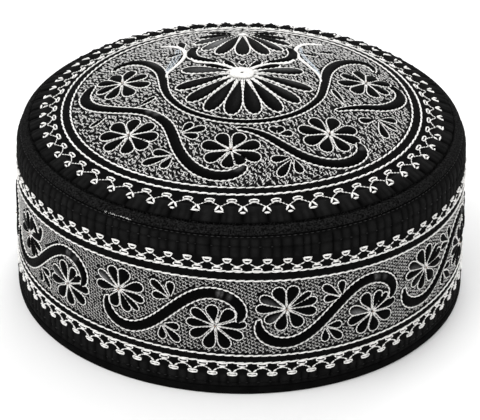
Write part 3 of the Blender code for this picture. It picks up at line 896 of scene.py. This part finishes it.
def dent(value, at, half):
    """One at a stitch line and nought away from it."""
    return math.exp(-(((value - at) / half) ** 2))


def side_ribs(angle):
    """One on the crest of each rib of the wall's strips and nought between two."""
    return rib_profile(angle, SIDE_RIBS, 1.25, 0.42)


def side_strip(up):
    """One in the ribbed strips of the wall and nought away from them."""
    return max(fade(up, low - 0.2, high + 0.4, 1.2) for low, high in (UPPER_RIBS, LOWER_RIBS))


def side_lift(angle, up):
    """Lift of the side cloth: ribbed strips with a stitch line, and a sunk field."""
    weight = side_strip(up)
    ribs = -RIB_DEPTH + (RIB_DEPTH + 0.1) * side_ribs(angle)
    strip = STRIP_LIFT * (1.0 - weight) + ribs * weight
    strip -= 0.4 * dent(up, UPPER_STITCH_LINE, 0.35) + 0.4 * dent(up, LOWER_STITCH_LINE, 0.35)
    strip += 0.12 * waves(angle, (5, 9, 14), (0.0, 2.0, 4.0))
    sunk = fade(up, FIELD[0] - 0.6, FIELD[1] + 0.6, 0.8)
    return strip * (1.0 - sunk) + FIELD_LIFT * sunk


def side_point(angle, row):
    """One ring of the side cloth."""
    up, inner = row
    along = angle * WALL_RADIUS
    lift = np.full_like(angle, -WALL_CLOTH) if inner else side_lift(angle, up)
    return band_map(along, np.full_like(angle, up), lift)


def side_painted_shade(angle, row):
    """Painted shade of the side cloth: pale on its ribs' crests, dark in their grooves and stitch lines."""
    weight = side_strip(row[0])
    stitched = dent(row[0], UPPER_STITCH_LINE, 0.5) + dent(row[0], LOWER_STITCH_LINE, 0.5)
    return 0.35 * (1.0 - weight) + weight * side_ribs(angle) ** 1.6 * (1.0 - 0.45 * stitched)


def side_rows():
    """The rings of the side cloth, from the welt down outside and back up inside."""
    top = shoulder_up(WELT_FROM)
    low = HEM_TOP + 0.1
    parts = [
        np.arange(top, UPPER_RIBS[0], -RING_STEP),
        np.linspace(UPPER_RIBS[0], FIELD[1] + 2.4, 4)[1:],
        np.linspace(FIELD[1] + 2.0, FIELD[1] - 1.0, 8),
        np.linspace(FIELD[1] - 4.0, FIELD[0] + 4.0, 6),
        np.linspace(FIELD[0] + 1.0, FIELD[0] - 2.0, 8),
        np.linspace(FIELD[0] - 2.6, LOWER_RIBS[1] + 0.8, 4),
        np.arange(LOWER_RIBS[1] + 0.4, low, -RING_STEP),
    ]
    outer = [(float(up), False) for up in np.concatenate(parts)]
    inner = [(float(up), True) for up in (low, *WALL_INSIDE, top)]
    return [*outer, *inner]


def crown_puffs(angle, radius):
    """One on the crest of each padded rib of the crown's rim, with finer gathers on its outer side."""
    turn = angle + math.pi / 2.0
    even = turn
    for _ in range(4):
        even = turn - CROWN_CROWDING * np.sin(even)
    puffs = rib_profile(even, CROWN_PUFFS, PUFF_PHASE, 0.5)
    gathers = rib_profile(even, CROWN_PUFFS * 3, PUFF_PHASE, 0.8)
    outer = np.clip((radius - GATHER_FROM) / GATHER_REACH, 0.0, 1.0)
    return puffs * (1.0 - GATHER_SHARE * outer) + GATHER_SHARE * outer * gathers


def crown_lift(angle, radius):
    """Lift of the crown cloth: a sunk field, a plain band, and padded ribs round the rim."""
    height = PUFF_HEIGHT + PUFF_BACK * (1.0 + np.sin(angle)) / 2.0
    lift = height * crown_puffs(angle, radius) * fade(radius, *PUFF_RING, PUFF_SOFT)
    lift = lift + 0.1 * waves(angle, (4, 7, 13), (1.0, 0.0, 3.0))
    sunk = 1.0 - np.clip((radius - CROWN_FIELD + 0.6) / 0.9, 0.0, 1.0)
    return lift * (1.0 - sunk) + FIELD_LIFT * sunk


def crown_point(angle, row):
    """One ring of the crown cloth."""
    radius, inner = row
    lift = crown_lift(angle, radius) if not inner else np.full_like(angle, FIELD_LIFT - CROWN_CLOTH)
    return ring_map(radius * np.cos(angle), radius * np.sin(angle), lift)


def crown_painted_shade(angle, row):
    """Painted shade of the crown cloth: pale on the crests of its rim's ribs, dark between them."""
    weight = fade(row[0], *PUFF_RING, PUFF_SOFT)
    return 0.3 * (1.0 - weight) + weight * crown_puffs(angle, row[0]) ** 2.2


def crown_rows():
    """The rings of the crown cloth, from its middle out over the rim and back in underneath."""
    field = np.linspace(0.4, CROWN_FIELD - 0.8, 14)
    rim = np.arange(CROWN_FIELD - 0.4, CROWN_RIM, 0.6)
    outer = [(float(radius), False) for radius in (*field, *rim, CROWN_RIM)]
    inner = [(float(radius), True) for radius in CROWN_INSIDE]
    return [*outer, *inner]


def welt_point(angle, row):
    """One ring of the felted welt, soft and uneven on its outer side."""
    turn, inner = row
    middle = (WELT_FROM + WELT_TO) / 2.0
    half = (WELT_TO - WELT_FROM) / 2.0
    bulge = math.sqrt(max(1.0 - ((turn - middle) / half) ** 4, 0.0))
    fuzz = 0.07 * waves(angle, (191, 263, 347, 419), (turn, turn * 2.3, turn * 3.1, turn * 0.7))
    lift = np.full_like(angle, -WALL_CLOTH) if inner else WELT_PROUD * bulge + fuzz
    return wall_map(angle * WALL_RADIUS, np.full_like(angle, shoulder_up(turn)), lift)


def welt_rows():
    """The rings of the welt."""
    outer = [(float(turn), False) for turn in np.linspace(WELT_FROM + 1.2, WELT_TO, 17)]
    return [*outer, (WELT_TO, True), ((WELT_FROM + WELT_TO) / 2.0, True), (WELT_FROM + 1.2, True)]


def hem_point(angle, row):
    """One ring of the hem binding."""
    up, lift = row
    swell = 0.05 * waves(angle, (6, 11, 17), (0.0, 1.0, 2.0)) if 0.0 < up < HEM_TOP else 0.0
    return wall_map(angle * WALL_RADIUS, np.full_like(angle, up), np.full_like(angle, lift) + swell)


def hem_painted_shade(angle, row):
    """Painted shade of the hem: even."""
    return np.full_like(angle, 0.3)

# Rows of stitches


def on_cloth(rows, lift_of):
    """The same stitches, raised to the cloth under their middles."""
    rows = np.array(rows, float)
    rows[:, 6] += lift_of((rows[:, 0] + rows[:, 2]) / 2.0, (rows[:, 1] + rows[:, 3]) / 2.0)
    return rows


def side_lift_at(along, up):
    """Lift of the side cloth, without its ribs, at points of the wall strip."""
    return np.where(up > UPPER_RIBS[0] - 1.0, STRIP_LIFT + 0.25, STRIP_LIFT)


def crown_lift_at(x, y):
    """Lift of the crown cloth at plan points."""
    return crown_lift(np.arctan2(y, x), np.hypot(x, y))


def zigzag_rows(outer, inner, phase, drift, sign, bars, sides, knee):
    """A row of ZIGZAGS: outer blocks, inner blocks half a step on, and threads that cross under each."""
    rows = []
    step = WALL_ROUND / SIDE_BLOCKS

    def add(middle, level, size, side, x0, up0, x1, up1):
        start = (middle + side * x0, level + sign * up0)
        rows.append((*start, middle + side * x1, level + sign * up1, *size, 0.0))

    for index in range(SIDE_BLOCKS):
        x = along_of(phase) + index * step
        x += drift * (1.0 - math.cos(x / WALL_RADIUS))
        half = x + step / 2.0
        for reach, up in bars:
            add(x, outer, BAR, 1.0, -reach, up, reach, up)
        for reach, up in INNER_BARS:
            add(half, inner, LEG, 1.0, -reach, up, reach, up)
        for side in (-1.0, 1.0):
            for ends in sides:
                add(x, outer, LEG, side, *ends)
            for ends in INNER_SIDES:
                add(half, inner, LEG, side, *ends)
            start = (x + side * knee[0], outer + sign * knee[1])
            end = (x + side * (step / 2.0 - THREAD_END[0]), inner + sign * THREAD_END[1])
            rows.append((*start, *end, *FINE_LEG, 0.0))
    return rows


def crowded(even):
    """The turn about the crown of an even turn, with the steps shorter toward the back."""
    return even + CROWN_CROWDING * math.sin(even)


def tooth_rows():
    """The zigzag ring of the crown: triangles, flat eyes half a step on, and bent threads between."""
    rows = []
    step = math.tau / CROWN_TEETH
    share = np.linspace(0.0, 1.0, 4)[:, None]

    def place(turn, along, radius):
        angle = turn + along / TOOTH_RADIUS - math.pi / 2.0
        return np.array((radius * math.cos(angle), radius * math.sin(angle)))

    for index in range(CROWN_TEETH):
        even = math.radians(CROWN_TOOTH_PHASE) + index * step
        turn, eye = crowded(even), crowded(even + step / 2.0)
        for middle, size, bars in ((turn, BAR, TRIANGLE_BARS), (eye, LEG, EYE_BARS)):
            rows += [(*place(middle, *bar[:2]), *place(middle, *bar[2:]), *size, 0.0) for bar in bars]
        gap = (eye - turn) * TOOTH_RADIUS
        for side in (-1.0, 1.0):
            places = ((0.9, 76.9), (gap - 1.6, 77.4), (gap - 0.1, 79.0))
            start, bow, end = (place(eye, side * along, radius) for along, radius in places)
            path = start * (1 - share) ** 2 + 2 * bow * share * (1 - share) + end * share ** 2
            rows += [(*a, *b, *FINE_LEG, 0.0) for a, b in zip(path, path[1:])]
    return rows


def stitch_ring(up, base):
    """A dotted ring of black stitches round the wall."""
    length, *size = BLACK_STITCH
    count = int(round(WALL_ROUND / (length + BLACK_GAP)))
    starts = np.arange(count) * (WALL_ROUND / count)
    return [(x, up, x + length, up, *size, base) for x in starts]


def rope(path, base):
    """A thick twisted cord along a path."""
    return back_stitch(path, ROPE, base, slant=0.26, lap=0.5)


def wall_line(up):
    """A white cord all round the wall."""
    along = np.linspace(-0.5, 0.5, 600) * WALL_ROUND
    path = np.stack([along, np.full_like(along, up)], -1)
    return rope(path, -0.42)


def crown_line(radius):
    """A white cord all round the crown."""
    angle = np.linspace(0.25, 1.25, 600) * math.tau
    path = np.stack([radius * np.cos(angle), radius * np.sin(angle)], -1)
    return rope(path, -0.4 if radius < CROWN_FIELD + 1.0 else -0.06)


def scuff_rows():
    """Pale worn fibres on the lower edge of the welt, at the left of the front."""
    rows = []
    place = np.linspace(*SCUFF, SCUFF_FIBRES) + rng.normal(0.0, 0.3, SCUFF_FIBRES)
    up = shoulder_up(WELT_FROM + 3.5) + rng.normal(0.0, 0.2, SCUFF_FIBRES)
    for x, level, reach in zip(place, up, rng.uniform(0.4, 1.0, SCUFF_FIBRES)):
        rows.append((x, level, x + reach, level + rng.normal(0.0, 0.1), 0.16, 0.16, WELT_PROUD * 0.75))
    return rows


def fuzz_rows():
    """Fine fibres of the felt over the seam between the welt and the crown."""
    x = rng.uniform(-0.5, 0.5, FUZZ_FIBRES) * WALL_ROUND
    level = shoulder_up(WELT_TO) + rng.normal(-0.1, 0.45, FUZZ_FIBRES)
    angle = rng.uniform(0.0, math.tau, FUZZ_FIBRES)
    reach = rng.uniform(0.3, 0.75, FUZZ_FIBRES)
    c, s = np.cos(angle) * reach, np.sin(angle) * reach
    base = WELT_PROUD * rng.uniform(0.2, 0.75, FUZZ_FIBRES)
    size = np.full(FUZZ_FIBRES, FUZZ_THICK)
    return np.stack([x - c, level - s, x + c, level + s, size, size, base], -1)


# Materials


def new_material(name, roughness, specular):
    """A Principled material, with its node tree and shader."""
    material = bpy.data.materials.new(name)
    material.use_nodes = True
    shader = material.node_tree.nodes["Principled BSDF"]
    shader.inputs["Roughness"].default_value = roughness
    shader.inputs["Specular IOR Level"].default_value = specular
    return material, material.node_tree, shader


def add_node(tree, kind, output, inputs, **settings):
    """One output of a new node, from its settings and its inputs, each a value or another output."""
    node = tree.nodes.new("ShaderNode" + kind)
    for name, value in settings.items():
        setattr(node, name, value)
    for name, value in inputs.items():
        if isinstance(value, bpy.types.NodeSocket):
            tree.links.new(value, node.inputs[name])
        else:
            node.inputs[name].default_value = value
    return node.outputs[output]


def noise(tree, vector, scale, detail=3.0):
    """A noise texture's value."""
    return add_node(tree, "TexNoise", "Fac", {"Vector": vector, "Scale": scale, "Detail": detail})


def wave(tree, vector, scale, direction, distortion=0.0):
    """A band wave's value."""
    inputs = {"Vector": vector, "Scale": scale, "Distortion": distortion, "Detail": 1.0}
    return add_node(tree, "TexWave", "Fac", inputs, wave_type="BANDS", bands_direction=direction)


def combine(tree, operation, first, second):
    """The sum or product of two values, as the operation says."""
    return add_node(tree, "Math", "Value", {0: first, 1: second}, operation=operation)


def marked(tree, name):
    """A value that the mesh's points carry."""
    return add_node(tree, "Attribute", "Fac", {}, attribute_name=name)


def object_place(tree):
    """Object coordinates, in metres."""
    return add_node(tree, "TexCoord", "Object", {})


def chart_place(tree):
    """The flat map, in millimetres."""
    return add_node(tree, "UVMap", "UV", {}, uv_map="flat")


def ramp(tree, value, stops):
    """A colour ramp with the given stops of place and colour, or grey."""
    node = tree.nodes.new("ShaderNodeValToRGB")
    for index, (place, colour) in enumerate(stops):
        element = node.color_ramp.elements[index] if index < 2 else node.color_ramp.elements.new(place)
        element.position = place
        element.color = (*(colour if isinstance(colour, tuple) else (colour,) * 3), 1.0)
    tree.links.new(value, node.inputs["Fac"])
    return node.outputs["Color"]


def finish(tree, shader, colour, height, strength, distance):
    """Gives the shader its colour, and bumps its normal by a height."""
    tree.links.new(colour, shader.inputs["Base Color"])
    inputs = {"Strength": strength, "Distance": distance, "Height": height}
    tree.links.new(add_node(tree, "Bump", "Normal", inputs), shader.inputs["Normal"])


def grained_material(name, roughness, specular, grain, stops, bump_grain, strength, distance):
    """A material whose colour and bump follow noises, each with its scale and detail."""
    material, tree, shader = new_material(name, roughness, specular)
    place = object_place(tree)
    colour = ramp(tree, noise(tree, place, *grain), stops)
    finish(tree, shader, colour, noise(tree, place, *bump_grain), strength, distance)
    return material


def cotton_material():
    """Matt black cotton with a fine plain weave, with painted shade: dark in its creases, pale on its crests.
    """
    material, tree, shader = new_material("black_cotton", 0.9, 0.03)
    place = object_place(tree)
    # Painted shade: the tone is scaled by each point's value, low in creases and grooves, high on crests
    tone = combine(tree, "MULTIPLY", noise(tree, place, 260.0, 4.0), marked(tree, "painted_shade"))
    chart = chart_place(tree)
    weave = combine(tree, "MULTIPLY", wave(tree, chart, 0.45, "X"), wave(tree, chart, 0.45, "Y"))
    rough = combine(tree, "ADD", weave, noise(tree, place, 900.0))
    finish(tree, shader, ramp(tree, tone, ((0.0, 0.0003), (0.6, 0.0095))), rough, 0.5, 0.00012)
    return material


def satin_material():
    """Padded black satin stitch, with its threads across the pad, paler where it catches the light."""
    material, tree, shader = new_material("black_satin_stitch", 0.6, 0.015)
    chart = chart_place(tree)
    streaks = combine(tree, "MULTIPLY", marked(tree, "sheen"), noise(tree, chart, 1.6, 2.0))
    tone = combine(tree, "ADD", combine(tree, "MULTIPLY", noise(tree, chart, 1.1, 2.0), 0.03), streaks)
    colour = ramp(tree, tone, ((0.0, 0.0006), (0.03, 0.002), (0.6, 0.20)))
    finish(tree, shader, colour, wave(tree, chart, 0.62, "X", 1.2), 0.55, 0.00012)
    return material


def ground_material():
    """The cloth under the seed stitches: black with pale flecks of thread."""
    fleck = (1500.0, 2.0)
    stops = ((0.5, 0.002), (0.7, 0.03))
    return grained_material("stitched_ground", 0.9, 0.02, fleck, stops, fleck, 0.7, 0.0003)


def felt_material():
    """Fuzzy black felt."""
    fuzz = (1500.0, 6.0)
    stops = ((0.4, 0.0015), (0.75, 0.022))
    return grained_material("black_felt", 0.96, 0.02, fuzz, stops, fuzz, 0.9, 0.0005)


def thread_material(name, dark, light, roughness=0.55):
    """Twisted thread with a fine grain."""
    stops = ((0.3, dark), (0.62, light))
    return grained_material(name, roughness, 0.3, (700.0, 3.0), stops, (2600.0, 2.0), 0.5, 0.0001)


def floor_material():
    """Plain pale floor."""
    material, _, shader = new_material("pale_floor", 0.9, 0.1)
    shader.inputs["Base Color"].default_value = (0.9, 0.9, 0.9, 1.0)
    return material


cotton = cotton_material()
ground = ground_material()
felt = felt_material()
satin = satin_material()
white = thread_material("white_thread", (0.70, 0.69, 0.665), (0.93, 0.92, 0.90))
side_grey = thread_material("side_ground_thread", (0.33, 0.325, 0.315), (0.62, 0.615, 0.60))
crown_grey = thread_material("crown_ground_thread", (0.42, 0.415, 0.405), (0.80, 0.795, 0.78))
tan = thread_material("tan_thread", (0.16, 0.10, 0.07), (0.36, 0.25, 0.19))
pale = thread_material("pale_thread", (0.40, 0.47, 0.54), (0.66, 0.72, 0.78))
black_thread = thread_material("black_thread", 0.003, 0.014, 0.7)


# The cap


def field_cloth(name, replaced, segments, rows, place, closed, shade_of, low, high):
    """A cotton piece whose outer rings between two limits have the ground's material."""
    mesh = tube_mesh(name, segments, rows, place, closed, shade_of)
    mesh.materials.append(cotton)
    mesh.materials.append(ground)
    marks = np.zeros(len(mesh.polygons), np.int32)
    for index, (first, second) in enumerate(zip(rows, rows[1:])):
        outside = not first[1] and not second[1]
        if outside and low < (first[0] + second[0]) / 2.0 < high:
            marks[index * segments:(index + 1) * segments] = 1
    mesh.polygons.foreach_set("material_index", marks)
    add_piece(mesh, cotton, [replaced])


def build_cloth():
    """The four sewn pieces, in place of their plain solids."""
    crown = (CROWN_PUFFS * PUFF_SEGMENTS, crown_rows(), crown_point, False, crown_painted_shade)
    field_cloth("crown_cloth", "crown_panel", *crown, 0.0, CROWN_FIELD - 0.3)
    side = (SIDE_RIBS * RIB_SEGMENTS, side_rows(), side_point, True, side_painted_shade)
    field_cloth("side_cloth", "side_panel", *side, FIELD[0] + 0.1, FIELD[1] - 0.1)
    mesh = tube_mesh("welt_felt", WELT_SEGMENTS, welt_rows(), welt_point)
    add_piece(mesh, felt, ["edge_welt"])
    mesh = tube_mesh("hem_cloth", HEM_SEGMENTS, HEM_ROWS, hem_point, shade_of=hem_painted_shade)
    add_piece(mesh, cotton, ["hem_binding"])


def add_motif(name, number, motif, surface, replaced):
    """Adds a motif's pads and its cords."""
    pads = pad_mesh(f"{name}_pad{number}", motif.pads, surface)
    add_piece(pads, satin, replaced)
    add_stitches(f"{name}_cord{number}", motif.threads, surface, white)


def build_side_motifs():
    """The raised motifs of the side field and their white outlines; the return is their edges."""
    edges = []

    def add(name, number, motif, turn, replaced):
        along = along_of(turn)
        add_motif(name, f"_{number}", motif, lambda x, up, lift: band_map(x + along, up, lift), replaced)
        edges.extend(edge + (along, 0.0) for edge in motif.edges)

    for number, (turn, hook, reach, shift, *flowers) in enumerate(side_repeats(), start=1):
        add("side_scroll", number, side_scroll_motif(hook, reach), turn, [f"side_scroll_{number}"])
        add("side_sprigs", number, side_sprig_motif(shift), turn, [])
        for name, (place, height, petals) in zip(("side_flower_a", "side_flower_b"), flowers):
            motif = Motif().flower(0.0, height, SIDE_PETALS[petals])
            add(name, number, motif, place, [f"{name}_{number}"])
    return edges


def build_crown_motifs():
    """The raised motifs of the crown and their white outlines; the return is their edges."""
    motifs = {name: Motif().band(route, BAND_SHEEN.get(name, ())) for name, route in CROWN_BANDS.items()}
    for name, (x, y, half_width, petals) in CROWN_FLOWERS.items():
        motifs[name] = Motif().flower(x, y, [(turn, length, half_width) for turn, length in petals])
    motifs["crown_rosette"] = rosette_motif()
    motifs["crown_palmette"] = palmette_motif()
    motifs["crown_bowl"] = Motif().band(BOWL_BAND).band(mirrored(BOWL_BAND))
    motifs["crown_sprigs"] = crown_sprig_motif()
    replaced = {"crown_bowl": ["crown_bowl_left", "crown_bowl_right"], "crown_sprigs": []}
    for name, motif in motifs.items():
        add_motif(name, "", motif, crown_map, replaced.get(name, [name]))
    return [edge for motif in motifs.values() for edge in motif.edges]


def build_disc():
    """The white satin disc of the rosette, in threads from its middle."""
    rows = []
    middle = np.array(DISC_MIDDLE)
    for turn in np.arange(0.0, 360.0, DISC_STEP):
        reach = DISC_RADIUS + rng.uniform(-0.25, 0.25)
        aim = toward(turn)
        rows.append((*(middle + aim * 0.45), *(middle + aim * reach), *DISC_THREAD, FIELD_LIFT + 0.5))
    add_stitches("rosette_disc_threads", rows, crown_map, white, replaces=["rosette_disc"])


def build_branches():
    """The white satin branches beside the palmette and their pale strands; the return is their edges."""
    rows, edges = [], []
    for route in (*BRANCHES, BOWL_LINE, mirrored(BOWL_LINE)):
        path = smooth(route, BRANCH_STEP)
        side = normals(path) * path[:, 2:3] / 2.0
        lean = np.gradient(path[:, :2], axis=0) * BRANCH_LEAN
        starts = path[:, :2] + side - lean
        ends = path[:, :2] - side + lean
        rows += [(*a, *b, *BRANCH_THREAD, FIELD_LIFT) for a, b in zip(starts, ends)]
        edges.append(ring_edge(*band_edges(route, grow=0.4)))
    add_stitches("crown_branches", rows, crown_map, white)
    rows = []
    for route, outward, shifts in zip(BRANCHES, (-1.0, 1.0), STRAND_SHIFTS):
        path = smooth(route[1:6], BRANCH_STEP)[:, :2]
        taper = np.sin(np.linspace(0.25, 2.6, len(path)))
        for shift in shifts:
            strand = path + np.stack([outward * shift * taper, 0.3 * shift * taper], -1)
            rows += back_stitch(strand, PALE_STRAND, base=FIELD_LIFT + 0.1)
    add_stitches("crown_pale_strands", rows, crown_map, pale)
    return edges


def build_ground(side_edges, crown_edges):
    """The net of small stitches in both fields."""
    wide = CROWN_FIELD * 2 + 4.0
    points = net_grid(wide, wide / CROWN_NET_STRETCH, CROWN_NET[0])
    laid = points * (1.0, CROWN_NET_STRETCH)
    radius = np.hypot(laid[:, 0], laid[:, 1])
    edge_of_field = ring_radius(np.full_like(radius, CROWN_FIELD), np.arctan2(laid[:, 0], -laid[:, 1]))
    keep = (radius < edge_of_field - NET_MARGIN) & (radius > DISC_RADIUS)
    for edge in crown_edges:
        keep &= ~inside(laid, edge)
    rows = net_rows(points[keep], *CROWN_NET[1:])
    rows[:, (1, 3)] *= CROWN_NET_STRETCH
    add_stitches("crown_seed_stitches", rows, crown_map, crown_grey, SEED)
    height = FIELD[1] - FIELD[0] - 2.0 * NET_MARGIN
    points = net_grid(WALL_ROUND, height, SIDE_NET[0]) + (0.0, (FIELD[0] + FIELD[1]) / 2.0)
    keep = np.ones(len(points), bool)
    for edge in side_edges:
        centre = (edge[:, 0].min() + edge[:, 0].max()) / 2.0
        shift = round(centre / WALL_ROUND) * WALL_ROUND
        keep &= ~inside(points, edge - (shift, 0.0))
        keep &= ~inside(points, edge - (shift - math.copysign(WALL_ROUND, shift - centre), 0.0))
    rows = net_rows(points[keep], *SIDE_NET[1:])
    add_stitches("side_seed_stitches", rows, band_map, side_grey, SEED)


def build_hearts():
    """A small tan knot in the heart of every flower."""
    side = [(along_of(turn), height) for repeat in side_repeats() for turn, height, _ in repeat[4:]]
    crown = [flower[:2] for flower in CROWN_FLOWERS.values()]
    for name, middles, surface in (("side", side, band_map), ("crown", crown, crown_map)):
        rows = [(x - HEART_REACH, y, x + HEART_REACH, y, *HEART_SIZE) for x, y in middles]
        add_stitches(f"{name}_flower_hearts", rows, surface, tan)


def build_lines():
    """White lines, zigzag rows, black stitch lines, and the worn spot and fuzz of the welt."""
    add_stitches("side_lines", sum(map(wall_line, SIDE_LINES), []), band_map, white)
    add_stitches("crown_lines", sum(map(crown_line, CROWN_LINES), []), ring_map, white)
    for name, blocks in ZIGZAGS.items():
        add_stitches(name, on_cloth(zigzag_rows(*blocks), side_lift_at), band_map, white)
    add_stitches("crown_zigzag", on_cloth(tooth_rows(), crown_lift_at), ring_map, white)
    under_welt = shoulder_up(WELT_FROM) - 0.5
    places = ((UPPER_STITCH_LINE, -0.75), (LOWER_STITCH_LINE, -0.75), (under_welt, -0.4))
    rows = [row for up, base in places for row in stitch_ring(up, base)]
    add_stitches("black_stitch_lines", rows, band_map, black_thread)
    add_stitches("welt_scuff", scuff_rows(), wall_map, crown_grey)
    add_stitches("welt_fuzz", fuzz_rows(), wall_map, felt)


def aimed(name, data, place, target, roll=0.0):
    """An object at a place, turned to face a target and rolled by degrees."""
    thing = bpy.data.objects.new(name, data)
    thing.location = place
    thing.rotation_mode = "QUATERNION"
    turn = (Vector(target) - Vector(place)).to_track_quat("-Z", "Y")
    thing.rotation_quaternion = turn @ Quaternion((0.0, 0.0, 1.0), math.radians(roll))
    bpy.context.scene.collection.objects.link(thing)
    return thing


def build_stage():
    """A plain pale floor, soft lights and the camera at the photograph's angle."""
    scene = bpy.context.scene
    floor = bpy.data.meshes.new("floor")
    half = FLOOR_REACH
    corners = [(-half, -half, 0.0), (half, -half, 0.0), (half, half, 0.0), (-half, half, 0.0)]
    floor.from_pydata(corners, [], [(0, 1, 2, 3)])
    floor.materials.append(floor_material())
    stand = bpy.data.objects.new("floor", floor)
    scene.collection.objects.link(stand)
    world = bpy.data.worlds.new("studio")
    world.use_nodes = True
    background = world.node_tree.nodes["Background"]
    background.inputs["Color"].default_value = (1.0, 1.0, 1.0, 1.0)
    background.inputs["Strength"].default_value = 1.0
    scene.world = world
    scene.view_settings.view_transform = "Standard"
    for name, (place, size, power) in LIGHTS.items():
        light = bpy.data.lights.new(name, "AREA")
        light.size = size
        light.energy = power
        aimed(name, light, place, LIGHT_AIM)
    camera = aimed("camera", bpy.data.cameras.new("camera"), CAMERA_PLACE, CAMERA_AIM, CAMERA_ROLL)
    camera.data.lens = CAMERA_LENS
    scene.camera = camera


build_cloth()
side_edges = build_side_motifs()
crown_edges = build_crown_motifs()
build_disc()
crown_edges += build_branches()
build_ground(side_edges, crown_edges)
build_hearts()
build_lines()
build_stage()
